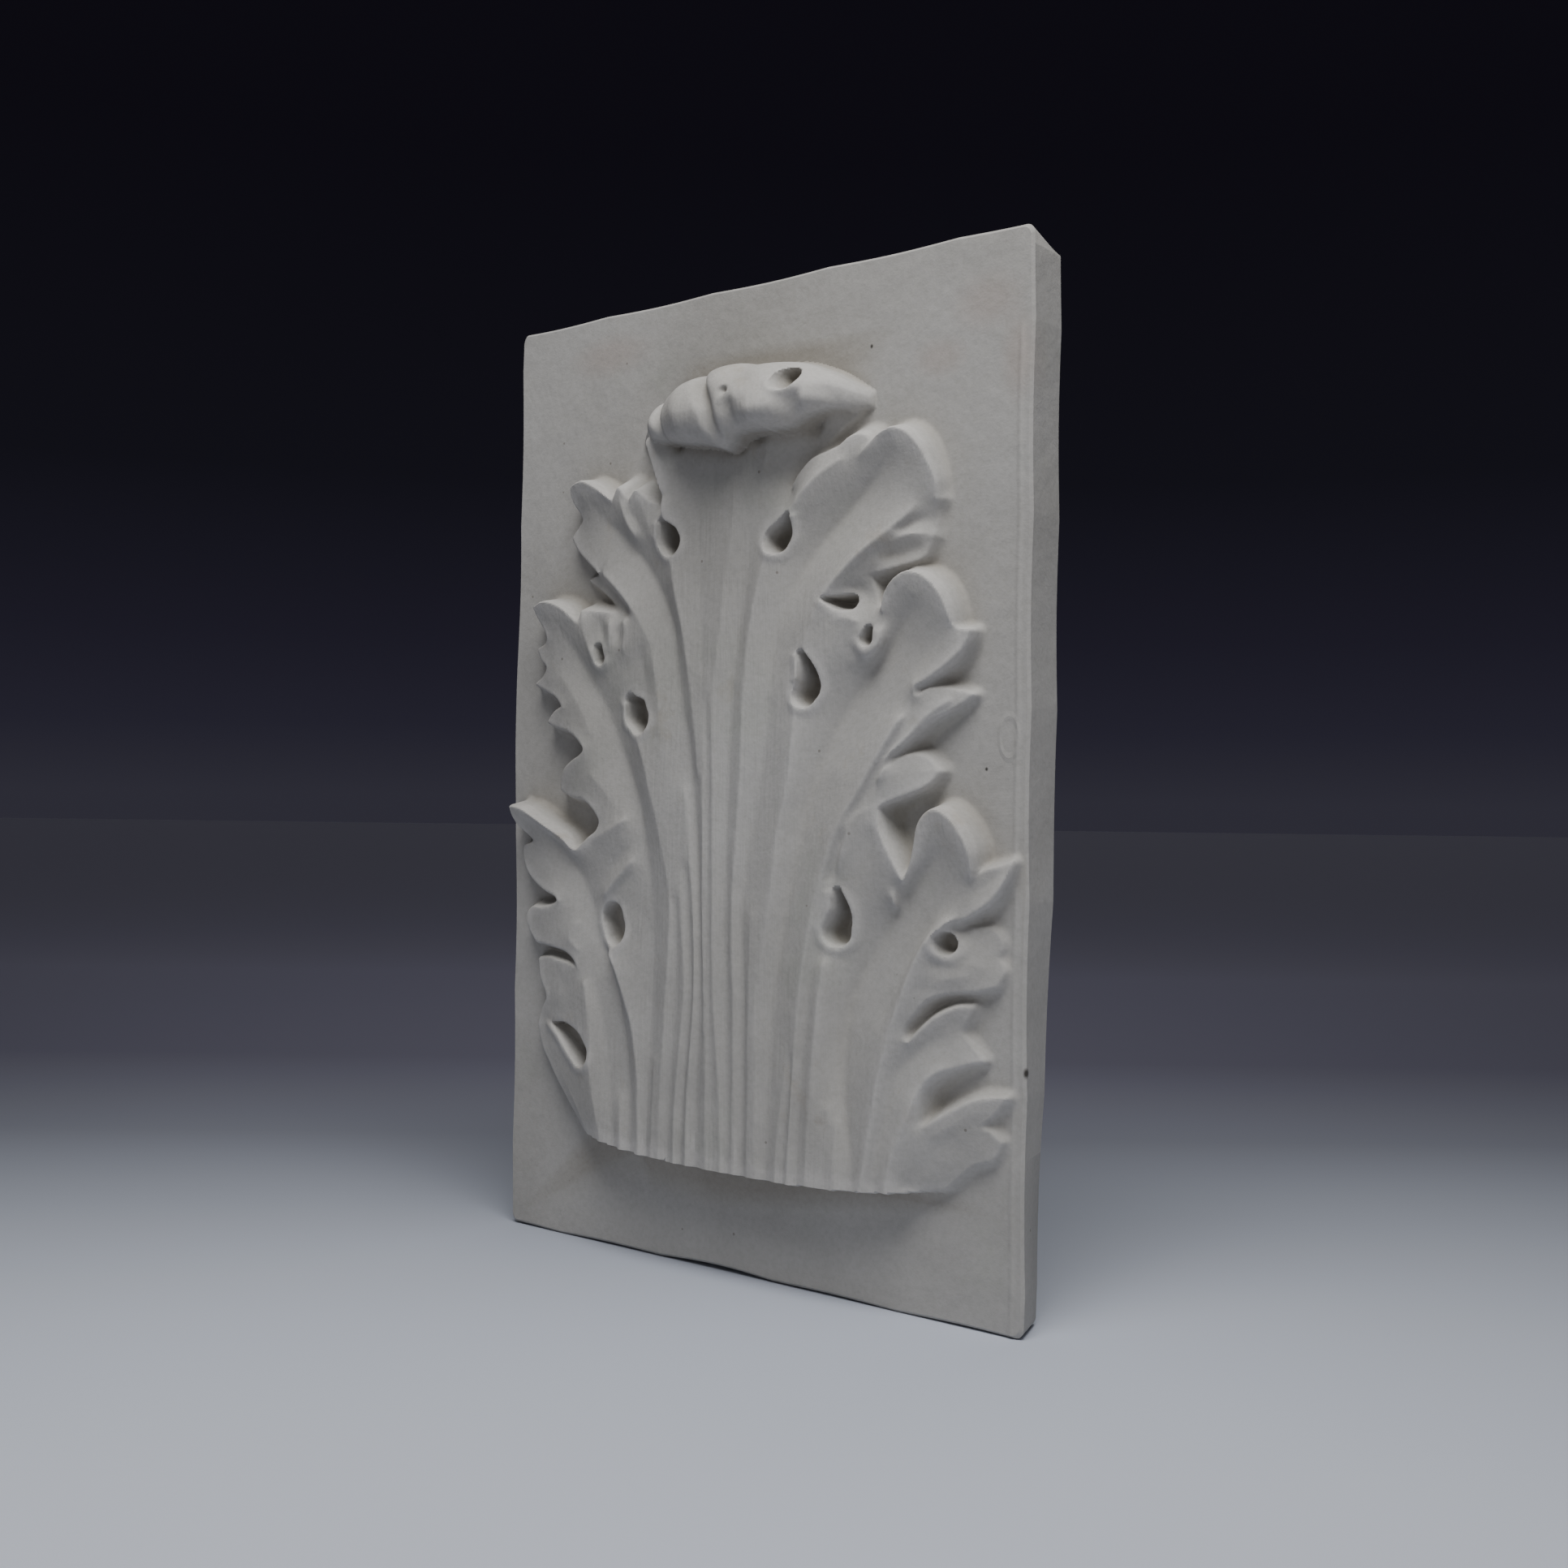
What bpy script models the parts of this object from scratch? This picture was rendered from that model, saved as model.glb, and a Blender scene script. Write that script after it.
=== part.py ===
"""Plaster cast relief: a tall acanthus leaf on a plain rectangular slab, cast in one piece.

Metres, +Z up. The leaf faces -Y, the flat back lies in the plane Y = 0, and the origin is the middle
of the back. The carving is drawn on a leaf grid: one grid unit is 1/365 of the leaf's height, X to
the right, Z up from the middle of the grid, and heights count out of the slab's front face.
"""

import bmesh
import bpy
import numpy as np

# Driving sizes of the slab
SLAB_WIDTH = 0.300
SLAB_HEIGHT = 0.450
SLAB_THICKNESS = 0.024
FRONT_EDGE_ROUND = 0.0012
BACK_EDGE_ROUND = 0.0020
CORNER_RADIUS = 0.0040
EDGE_WAVE = 0.0008  # how far the edges wander from straight
LEFT_BULGE = 0.0020  # how far the middle of the left side stands out from its ends
FOOT_WEAR = 0.0012  # how far the bottom edge is worn away near its middle
BACK_TAPER = 0.0065  # how far the right side slopes in towards the back at the foot
BACK_CORNER = 0.0100  # how much is knocked off the top right corner at the back

# Driving sizes of the leaf
LEAF_HEIGHT = 0.365
LEAF_BASE_ABOVE_BOTTOM = 0.048
LEAF_GRID_HEIGHT = 365.0
LEAF_GRID_BASE = -177.0
LINE_FADE = 6.0  # grid units from its ends over which a line takes hold of the surface

# Mesh sizes
GRID_STEP = 0.0015
TRIANGLES = 9400

NAME = "acanthus_relief_panel"
PLASTER_COLOUR = (0.55, 0.53, 0.50, 1.0)
PLASTER_ROUGHNESS = 0.75


def clear_scene():
    for thing in list(bpy.data.objects):
        bpy.data.objects.remove(thing, do_unlink=True)


def smooth_rows(rows, steps=8):
    """A Catmull-Rom curve through rows of numbers, as many columns as the rows have."""
    p = np.array(rows, float)
    p = np.vstack([2 * p[0] - p[1], p, 2 * p[-1] - p[-2]])
    points = []
    for i in range(1, len(p) - 2):
        a, b, c, d = p[i - 1:i + 3]
        for t in np.linspace(0, 1, steps, endpoint=False):
            square = (2 * a - 5 * b + 4 * c - d) * t ** 2
            cube = (3 * b - a - 3 * c + d) * t ** 3
            points.append(0.5 * (2 * b + (c - a) * t + square + cube))
    points.append(p[-2])
    return np.array(points)


def ease(share):
    """0 to 1 with a soft start and end."""
    share = np.clip(share, 0, 1)
    return share * share * (3 - 2 * share)


def four_around(height):
    """The sum of each place's four neighbours."""
    p = np.pad(height, 1, mode="edge")
    return p[:-2, 1:-1] + p[2:, 1:-1] + p[1:-1, :-2] + p[1:-1, 2:]


def halved(grid):
    """The grid with each block of two by two places added up."""
    grid = np.pad(grid, ((0, grid.shape[0] % 2), (0, grid.shape[1] % 2)))
    return grid[::2, ::2] + grid[1::2, ::2] + grid[::2, 1::2] + grid[1::2, 1::2]


class Near:
    """What each place finds on its nearest point of a curve."""

    def __init__(self, x, z, curve):
        start, end = curve[:-1], curve[1:]
        run = end[:, :2] - start[:, :2]
        length = np.maximum(np.hypot(run[:, 0], run[:, 1]), 1e-6)
        off_x = x[:, None] - start[:, 0]
        off_z = z[:, None] - start[:, 1]
        t = np.clip((off_x * run[:, 0] + off_z * run[:, 1]) / length ** 2, 0, 1)
        off_x = off_x - t * run[:, 0]
        off_z = off_z - t * run[:, 1]
        distance = np.hypot(off_x, off_z)
        place = np.arange(len(x))
        k = distance.argmin(axis=1)
        t = t[place, k]
        self.distance = distance[place, k]
        self.row = start[k] + (end[k] - start[k]) * t[:, None]
        self.total = length.sum()
        self.along = np.concatenate([[0], np.cumsum(length)])[k] + t * length[k]


class Relief:
    """Heights above the slab's front on a regular grid of the leaf's own units."""

    def __init__(self, x, z):
        self.x = x
        self.z = z
        self.step = x[1] - x[0]
        self.across, self.up = np.meshgrid(x, z)
        self.height = np.zeros_like(self.across)
        self.weight = np.zeros_like(self.across)
        self.pull = np.zeros_like(self.across)

    def line(self, rows):
        """A ridge or hollow line that the surface passes through. Each row: x, z, height."""
        curve = smooth_rows(rows)
        length = np.hypot(np.diff(curve[:, 0]), np.diff(curve[:, 1]))
        along = np.concatenate([[0], np.cumsum(length)])
        stops = np.arange(0, along[-1], self.step / 2)
        column = (np.interp(stops, along, curve[:, 0]) - self.x[0]) / self.step
        row = (np.interp(stops, along, curve[:, 1]) - self.z[0]) / self.step
        height = np.interp(stops, along, curve[:, 2])
        least_hold = 0.05
        hold = least_hold + ease(stops / LINE_FADE) * ease((along[-1] - stops) / LINE_FADE)
        for down in (0, 1):
            for right in (0, 1):
                r = np.clip(np.floor(row).astype(int) + down, 0, len(self.z) - 1)
                c = np.clip(np.floor(column).astype(int) + right, 0, len(self.x) - 1)
                share = (1 - abs(row - np.floor(row) - down)) * (1 - abs(column - np.floor(column) - right))
                share = share * hold
                np.add.at(self.weight, (r, c), share)
                np.add.at(self.pull, (r, c), share * height)

    def lines(self, *several):
        for rows in several:
            self.line(rows)

    def stretch(self, stiffness=6.0, sweeps=40, coarsest=12):
        """Stretches a smooth surface over all the lines, from a coarse grid to the fine one."""
        levels = [(self.weight, self.pull)]
        while min(levels[-1][0].shape) > coarsest:
            levels.append(tuple(halved(grid) for grid in levels[-1]))
        height = np.full(levels[-1][0].shape, levels[-1][1].sum() / levels[-1][0].sum())
        for weight, pull in reversed(levels):
            rows, columns = weight.shape
            if height.shape != weight.shape:
                height = np.repeat(np.repeat(height, 2, axis=0), 2, axis=1)[:rows, :columns]
            for _ in range(sweeps):
                height = (four_around(height) + stiffness * pull) / (4 + stiffness * weight)
        self.height = height

    def window(self, curve, reach):
        """The part of the grid within reach of a curve."""
        low = curve[:, :2].min(axis=0) - reach
        high = curve[:, :2].max(axis=0) + reach
        rows = slice(np.searchsorted(self.z, low[1]), np.searchsorted(self.z, high[1]) + 1)
        columns = slice(np.searchsorted(self.x, low[0]), np.searchsorted(self.x, high[0]) + 1)
        return rows, columns

    def near(self, curve, reach):
        rows, columns = self.window(curve, reach)
        x = self.across[rows, columns].ravel()
        z = self.up[rows, columns].ravel()
        return (rows, columns), Near(x, z, curve)

    def inside(self, loop):
        """True within a closed loop of points, found from where each grid row crosses it."""
        within = np.zeros(self.height.shape, bool)
        for start, end in zip(loop, np.roll(loop, -1, axis=0)):
            low, high = sorted((start[1], end[1]))
            rows = (self.z >= low) & (self.z < high)
            if rows.any():
                share = (self.z[rows] - start[1]) / (end[1] - start[1])
                crossing = start[0] + share * (end[0] - start[0])
                within[rows] ^= self.x[None, :] > crossing[:, None]
        return within

    def cut_out(self, arcs, rim=1.3, reach=16.0):
        """Keeps the surface within the arcs that make the leaf's edge, with sloping walls down to the slab.
        Each arc: the wall's slope, and rows of x, z, height."""
        curves = [(wall, smooth_rows(rows)) for wall, rows in arcs]
        within = self.inside(np.concatenate([curve[:, :2] for _, curve in curves]))
        deeper_than_any_wall = 60.0
        drop = np.full(self.height.shape, deeper_than_any_wall)
        top = np.zeros_like(drop)
        for wall, curve in curves:
            place, near = self.near(curve, reach)
            turn = np.clip(near.distance, 0, rim)
            fall = rim - np.sqrt(rim ** 2 - turn ** 2) + np.maximum(near.distance - rim, 0) * wall
            fall = fall.reshape(drop[place].shape)
            nearer = fall - near.row[:, 2].reshape(fall.shape) < drop[place] - top[place]
            drop[place] = np.where(nearer, fall, drop[place])
            top[place] = np.where(nearer, near.row[:, 2].reshape(fall.shape), top[place])
        self.height = np.where(within, self.height, np.maximum(top - drop, 0))

    def crease(self, rows, end_share=0.15):
        """A thin groove, or a ridge where the height is positive. Each row: x, z, half width, height."""
        curve = smooth_rows(rows)
        place, near = self.near(curve, curve[:, 2].max() * 3 + 1)
        ends = end_share * near.total
        fade = ease(near.along / ends) * ease((near.total - near.along) / ends)
        lift = near.row[:, 3] * np.exp(-(near.distance / near.row[:, 2]) ** 2) * fade
        old = self.height[place]
        self.height[place] = old + lift.reshape(old.shape) * (old > 0.3)

    def hole(self, rows, floor=1.5, lip=1.0):
        """A drilled hole along a short curve, with a low raised lip. Each row: x, z, radius."""
        curve = smooth_rows(rows)
        place, near = self.near(curve, curve[:, 2].max() + 8)
        beyond = near.distance - near.row[:, 2]
        old = self.height[place]
        under = ease(0.5 + (near.row[:, 1] - self.up[place].ravel()) / (2 * near.row[:, 2]))
        raised = old.ravel() + lip * under * np.exp(-((beyond - 1.5) / 2.5) ** 2) * (old.ravel() > 2)
        bowl = floor + 3.0 * np.maximum(beyond + 1.5, 0) ** 2
        new = np.where(beyond < 0, np.minimum(raised, bowl), raised)
        self.height[place] = new.reshape(old.shape)

    def softened(self, radius):
        """The heights blurred by about this radius."""
        height = self.height
        for _ in range(max(1, round(2 * (radius / self.step) ** 2))):
            height = (four_around(height) + 4 * height) / 8
        return height

    def round_hollows(self, radius):
        """Rounds the hollows and the feet of the walls, and leaves the ridges crisp."""
        self.height = np.maximum(self.height, self.softened(radius))


def right_edge():
    """The leaf's right edge, from the foot up to the curl."""
    return [
        (1.2, [(104, -176, 4), (113, -171, 4), (128, -158, 4), (138, -154, 3.5), (142, -147, 3.5)]),
        (1.5, [(142, -147, 3.5), (137, -143.5, 4.5), (131, -142, 5.5)]),
        (1.5, [(131, -142, 5.5), (138, -136, 5), (144, -129, 4.5)]),
        (2.0, [(144, -129, 4.5), (131, -131.5, 7), (118, -138.5, 8.5), (108, -144.5, 9.5), (105, -143, 10)]),
        (2.0, [(105, -143, 10), (105.5, -134, 11), (109, -126.5, 10), (117, -120.5, 8), (126, -116.5, 6),
               (133, -115, 4)]),
        (1.5, [(133, -115, 4), (127, -109, 4.5), (123, -104, 5), (126, -98, 5.5), (128, -93.5, 5.5)]),
        (2.5, [(128, -93.5, 5.5), (122, -94.5, 8), (114, -98.5, 10), (107, -104.5, 11), (101.5, -110.5, 12)]),
        (2.5, [(101.5, -110.5, 12), (98.5, -108, 12.5), (99.5, -102.5, 12.5), (103, -98, 12), (109.5, -91, 11),
               (118, -87.5, 9), (130, -86, 6.5), (139, -84, 4)]),
        (1.2, [(139, -84, 4), (142, -78, 3), (139, -73, 3), (141, -67, 2.5), (137, -62, 3), (129, -61.5, 4.5)]),
        (4.0, [(129, -61.5, 4.5), (122, -61.5, 6), (123, -58.5, 9.5), (130, -54.5, 9), (138.5, -48.5, 8),
               (143.5, -41, 7), (147, -34, 5)]),
        (2.2, [(147, -34, 5), (141.5, -36, 6.5), (136, -37.5, 7.5), (131.5, -40.5, 8.5), (129, -43.5, 9)]),
        (5.0, [(129, -43.5, 9), (130.5, -38, 11.5), (130.5, -30, 13.5), (127.5, -23, 14.5), (122.5, -17, 15),
               (116.5, -13.5, 15.5), (111, -15, 15), (107, -20, 14.5), (104.8, -28, 13.5), (102.5, -36, 13),
               (98.5, -44, 12.5)]),
        (5.0, [(98.5, -44, 12.5), (92.5, -34, 13), (87.5, -25, 13.5), (85.5, -18, 13.5), (85, -12.5, 13.5)]),
        (5.0, [(85, -12.5, 13.5), (89, -9.5, 12.5), (98.5, -6, 10.5), (106.5, -2.5, 8.5), (111.5, 3, 6)]),
        (2.5, [(111.5, 3, 6), (105, 8.5, 7), (98.5, 9, 9), (91.5, 6, 11.5), (86, 2, 13.5)]),
        (5.0, [(86, 2, 13.5), (90, 9.5, 13.5), (96.5, 15, 12), (103.5, 21, 10.5), (110, 25.5, 9),
               (119, 30, 6.5), (126.5, 34.5, 4.5)]),
        (2.5, [(126.5, 34.5, 4.5), (115.5, 36.5, 7), (108, 36.5, 9), (103.5, 34, 10.5), (101, 35, 11)]),
        (5.0, [(101, 35, 11), (102.5, 39, 11.5), (107.5, 41.5, 11), (114, 45.5, 10.5), (120.5, 50.5, 9.5),
               (124.5, 55.5, 8.5), (126.5, 60.5, 8)]),
        (5.0, [(126.5, 60.5, 8), (122, 61, 9), (119.5, 63, 10.5), (118.5, 67, 12), (117, 72, 13),
               (114, 77.5, 14), (109, 82.5, 14.7), (103, 85, 15), (97.5, 84.7, 15), (92, 81.5, 14.5),
               (88, 76.5, 13.5), (86.5, 70, 13)]),
        (2.5, [(86.5, 70, 13), (82, 73, 9.5), (80, 78, 8), (78, 84, 8.5), (77, 87.5, 10)]),
        (2.5, [(77, 87.5, 10), (86.5, 89, 9), (95.5, 90.5, 7.5), (101.5, 92.5, 6), (104.5, 97, 5),
               (106, 101.5, 5.5)]),
        (1.5, [(106, 101.5, 5.5), (107, 107, 3.5), (107, 112, 4.5), (108.5, 117, 6.5)]),
        (3.5, [(108.5, 117, 6.5), (109.5, 124.5, 9.5), (107.5, 132, 12), (103.7, 139, 13.5), (98.3, 144.2, 14.5),
               (92, 146.2, 15), (86, 145, 14.5), (81, 142.5, 13.5), (76, 139, 13), (72.5, 136.5, 12.5)]),
        (2.0, [(72.5, 136.5, 12.5), (77, 142.5, 11.5), (74.5, 146, 11.5), (68, 145.5, 12), (62, 142, 12),
               (55, 140, 12), (47.5, 138, 12), (40.5, 132, 12), (36.5, 126, 12.5), (34.5, 120, 13)]),
        (2.0, [(34.5, 120, 13), (36.5, 126, 9), (38, 131, 6.5), (43, 138.5, 5), (52, 148, 4.5), (60, 154, 4),
               (67, 159, 3)]),
    ]


def left_edge():
    """The leaf's left edge, from the curl down to the foot."""
    return [
        (2.0, [(-60, 160, 2), (-53, 151, 3), (-42, 141, 4), (-37, 132, 6), (-36, 124, 11)]),
        (1.8, [(-36, 124, 11), (-42, 127, 13), (-47, 129, 14), (-51.5, 132.5, 14), (-55, 134.5, 14.5),
               (-58.5, 131.5, 14), (-61, 128.5, 13)]),
        (1.8, [(-61, 128.5, 13), (-63, 133, 14), (-66, 137, 14.5), (-68.5, 134.5, 14), (-71, 131, 13)]),
        (6.0, [(-71, 131, 13), (-75.5, 134.5, 14.5), (-83, 139.5, 15), (-91, 142.5, 15.2), (-98.5, 141, 14)]),
        (5.0, [(-98.5, 141, 14), (-99.5, 138, 12.5), (-98.5, 133.5, 11), (-95.5, 129, 9.5), (-94, 125, 9)]),
        (3.5, [(-94, 125, 9), (-99, 121.5, 7.5), (-103.5, 117.5, 7)]),
        (5.0, [(-103.5, 117.5, 7), (-98, 111, 8), (-90.5, 105, 9), (-82, 99, 10.5)]),
        (3.0, [(-82, 99, 10.5), (-84, 98, 7), (-94, 96.5, 4)]),
        (2.5, [(-94, 96.5, 4), (-84, 91, 5.5), (-75, 85, 7), (-68, 78.5, 9)]),
        (2.5, [(-68, 78.5, 9), (-72, 78, 12), (-79.5, 79, 12.5), (-91, 80, 13)]),
        (6.0, [(-91, 80, 13), (-92.5, 74.5, 14), (-97, 77.5, 14.8), (-103, 82, 15.5), (-110, 84.8, 16),
               (-117, 85.6, 15.5), (-123.5, 83.8, 14)]),
        (5.0, [(-123.5, 83.8, 14), (-121.5, 79, 12.5), (-117.5, 73.5, 12), (-116, 69, 11.5), (-119, 65.5, 10),
               (-125.5, 63.5, 8.5)]),
        (3.0, [(-125.5, 63.5, 8.5), (-122, 58.5, 9), (-118, 55, 9.5), (-121, 50, 8.5), (-128, 46.5, 7)]),
        (3.5, [(-128, 46.5, 7), (-119, 43.5, 8.5), (-111, 40, 10), (-104, 34, 11.5)]),
        (3.5, [(-104, 34, 11.5), (-112, 32, 9.5), (-118, 27.5, 8)]),
        (3.5, [(-118, 27.5, 8), (-111, 25.5, 9.5), (-102, 23.5, 11), (-94.5, 20, 12.5), (-88.5, 15, 13.5),
               (-88, 12, 13.5)]),
        (3.5, [(-88, 12, 13.5), (-92, 9.5, 13), (-97, 7.5, 12), (-103.5, 4, 10.5), (-107, -0.5, 9),
               (-108.5, -6, 7.5)]),
        (3.0, [(-108.5, -6, 7.5), (-100, -8.5, 9.5), (-91, -9.5, 11.5), (-83.5, -13, 13), (-78, -18, 13.5),
               (-76.5, -22, 13.5), (-79, -26.5, 13.5), (-85, -30, 13), (-92, -35.5, 13)]),
        (7.0, [(-92, -35.5, 13), (-95.5, -35, 13.5), (-102, -29.5, 14.8), (-112, -24.5, 15.5),
               (-122, -19.5, 15.8), (-130, -16, 15.8), (-138, -15, 15)]),
        (5.0, [(-138, -15, 15), (-137.5, -19, 13.5), (-134.5, -23.5, 12), (-127, -29, 10.5),
               (-124.5, -32, 9.5)]),
        (5.0, [(-124.5, -32, 9.5), (-130, -33.5, 8.5), (-136, -35, 6.5), (-136, -40, 6.5), (-132.5, -46, 7.5),
               (-126, -51, 8.5), (-117.5, -55, 10), (-109, -57.5, 11.5), (-105, -60.5, 12)]),
        (2.5, [(-105, -60.5, 12), (-111, -63.5, 11), (-120, -65, 9.5), (-129, -65.5, 7.5), (-133, -69.5, 7),
               (-131, -75.5, 7), (-125, -81, 8)]),
        (3.5, [(-125, -81, 8), (-113, -82, 10), (-101, -84, 11.5), (-93.5, -88, 12.5), (-90, -93.5, 12.5)]),
        (3.0, [(-90, -93.5, 12.5), (-97, -91.5, 11.5), (-105, -90.5, 10.5), (-115, -89.5, 8.5),
               (-124, -90.5, 6.5)]),
        (2.5, [(-124, -90.5, 6.5), (-121.5, -99, 7.5), (-116, -108, 8.5), (-121, -115, 6.5), (-125, -123, 5.5)]),
        (2.0, [(-125, -123, 5.5), (-120.5, -134, 6), (-116, -140, 6), (-110, -147, 7), (-97, -161, 8),
               (-89, -169, 9), (-84, -176, 9)]),
    ]


def stem(relief):
    """The middle stem: it fans out below the curl, and flutes run up it from the foot."""
    relief.lines(
        [(8, 165, 17), (8, 145, 16.5), (7.5, 120, 17), (6, 100, 17.6), (3.5, 85, 18), (2.5, 70, 18.5),
         (0.5, 55, 18.7), (-2.5, 35, 18.7), (-1, 0, 19), (0, -60, 19), (1, -100, 19), (5, -140, 19),
         (7, -190, 19)],
        [(-6, 35, 17.8), (-4.2, 0, 18), (-3, -60, 18), (-1.5, -100, 18.1), (1, -140, 18.2), (3, -190, 18.2)],
        [(-9, 35, 18.2), (-7, 0, 18.8), (-6, -60, 18.9), (-4.5, -100, 18.9), (-3, -140, 18.9), (-2, -190, 18.9)],
        [(24, 140, 15.3), (21, 120, 15.3), (17, 105, 15.4), (14.3, 80, 15.6), (12.3, 68, 15.8),
         (10.3, 55, 16), (8.3, 40, 16.2), (7, 0, 16.5), (6, -60, 16.7), (8.5, -100, 16.8), (12, -135, 17.6)],
        [(-22, 145, 15.5), (-14, 120, 15.5), (-12, 100, 16), (-11, 80, 16.5), (-9.5, 60, 17.2),
         (-9, 47, 17.8)],
        [(-32, 117, 17), (-35, 122, 18), (-36, 130, 19), (-38, 140, 20), (-40, 150, 22), (-42, 158, 24)],
        [(28, 100, 17.3), (24.5, 90, 17.8), (21.5, 80, 18), (19.5, 70, 18.2), (17.5, 55, 18.3),
         (15.5, 30, 18.4), (14.5, 0, 18.5), (11, -60, 18.5), (14, -100, 18.5), (17, -130, 18.5)],
        [(28.5, 35, 14.6), (26.5, 15, 15), (24.5, 0, 15.3), (19, -30, 15.8), (15.5, -60, 16.2),
         (18.5, -100, 16.4), (17.5, -140, 16.6), (17, -190, 16.6)],
        [(10.5, -120, 18.4), (12, -140, 18.5), (12.5, -190, 18.5)],
        [(22, -60, 18.2), (21, -100, 18.4), (21.5, -140, 18.4), (22, -190, 18.4)],
        [(-30, 100, 17), (-26.3, 85, 17.8), (-22.3, 72, 18.2), (-19.3, 60, 18.3), (-15.3, 40, 18.4),
         (-11.5, 15, 18.5), (-9.8, 0, 18.5)],
        [(-21.5, 30, 14.8), (-16.7, 10, 15.6), (-13.7, -10, 16), (-10.5, -35, 16.3), (-9, -60, 16.6),
         (-7.8, -100, 16.8), (-9.5, -140, 16.9), (-10, -190, 16.9)],
        [(-19, -5, 17.8), (-15.5, -30, 18.2), (-12, -60, 18.6), (-10.8, -100, 18.7), (-14, -145, 18.7),
         (-15, -190, 18.7)],
        [(-17, -40, 17.3), (-14.5, -70, 17), (-13.7, -100, 16.9), (-18, -150, 16.8), (-19, -190, 16.8)],
        [(-23, -30, 18), (-19, -65, 18.5), (-17, -100, 18.6), (-21.5, -150, 18.6), (-22, -190, 18.6)],
        [(-24, -55, 17.4), (-22.5, -80, 17.2), (-22.7, -100, 17.1), (-26, -150, 17), (-27, -190, 17)])


def upper_right_lobe(relief):
    relief.lines(
        [(28.5, 35, 15), (30, 55, 14), (33.5, 70, 12.8), (39, 85, 11.5), (49, 99, 10.2), (62, 112, 9.5),
         (75, 123, 9), (85, 132, 9.3), (91, 138, 10.5), (93, 142, 13)],
        [(36, 112, 15.5), (41, 119, 15.8), (49, 127, 16), (58, 133, 15), (66, 137, 13.5)],
        [(44, 31, 16.5), (46, 45, 16.5), (49.5, 62, 16.5), (58.5, 79, 16.3), (73, 93, 15.5),
         (86, 102, 13.5), (95, 108.5, 11), (101, 117, 7.5)],
        [(62, 78, 12.5), (75, 90, 12), (86, 98, 10.5)],
        [(88, 99.5, 11), (97, 102, 9.5), (104.5, 102, 6.5)],
        [(91, 104.5, 8.5), (98, 107.5, 6), (105, 108.5, 4)],
        [(84, 93, 8), (94, 95, 6.5), (102, 97, 5)],
        [(66, 82, 10), (74, 80, 8), (77, 75, 8.5), (76, 69, 12)])


def middle_right_lobe(relief):
    relief.lines(
        [(31, -190, 16.4), (31, -165, 16.3), (33.5, -100, 15.4), (38, -62, 14), (44, -32, 12.8), (53, -5, 11.5),
         (66, 18, 10), (79, 35, 9.2), (91, 50, 9), (97, 62, 9.3), (101, 71, 10.3), (102, 78, 12.5)],
        [(62, 0, 12), (76, 18, 10.5), (90, 34, 9.5), (104, 50, 9), (112, 58, 9)],
        [(44, 31, 16.5), (43, 20, 17.3), (41, 0, 17.6), (38.5, -12, 17.8), (35.5, -25, 18), (32.5, -50, 18.2),
         (28.5, -75, 18.4), (24.5, -100, 18.5), (25, -140, 18.5), (26, -190, 18.5)],
        [(37, -190, 18.2), (37.5, -165, 18.2), (41, -130, 17.6), (44, -110, 17)],
        [(40.5, -190, 17.1), (41, -165, 17), (45, -120, 16.8)],
        [(43.5, -190, 18.4), (44, -165, 18.4), (48, -100, 18), (54.5, -58, 17.6), (60, -40, 17.4),
         (64, -28, 17.2), (69, -18, 17), (76, -8, 16.5), (83, 4, 15.5), (90, 15, 14.5), (97, 26, 13)],
        [(52, 57, 15.5), (55, 63, 15.5), (60, 66.5, 15), (68, 68, 14.5), (75, 66, 14)],
        [(56, 42, 13.5), (59, 52, 14.5), (62, 60, 14.5)],
        [(70, 48, 11.5), (72, 56, 12)],
        [(75, 52, 12.5), (80, 52, 13), (85, 56, 13), (86.5, 64, 13)],
        [(72, -19, 15.5), (78, -9.5, 14), (84, 0, 12.8), (90, 10, 11.8), (96, 20, 10.8), (103, 30.5, 9.5)],
        [(86, -2, 14.8), (92.5, 9, 13.8), (101, 18.5, 12), (110, 27, 10), (118, 32.5, 8)],
        [(92, -1, 12), (101, 1.5, 9.5), (108, 3, 7.5)])


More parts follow.
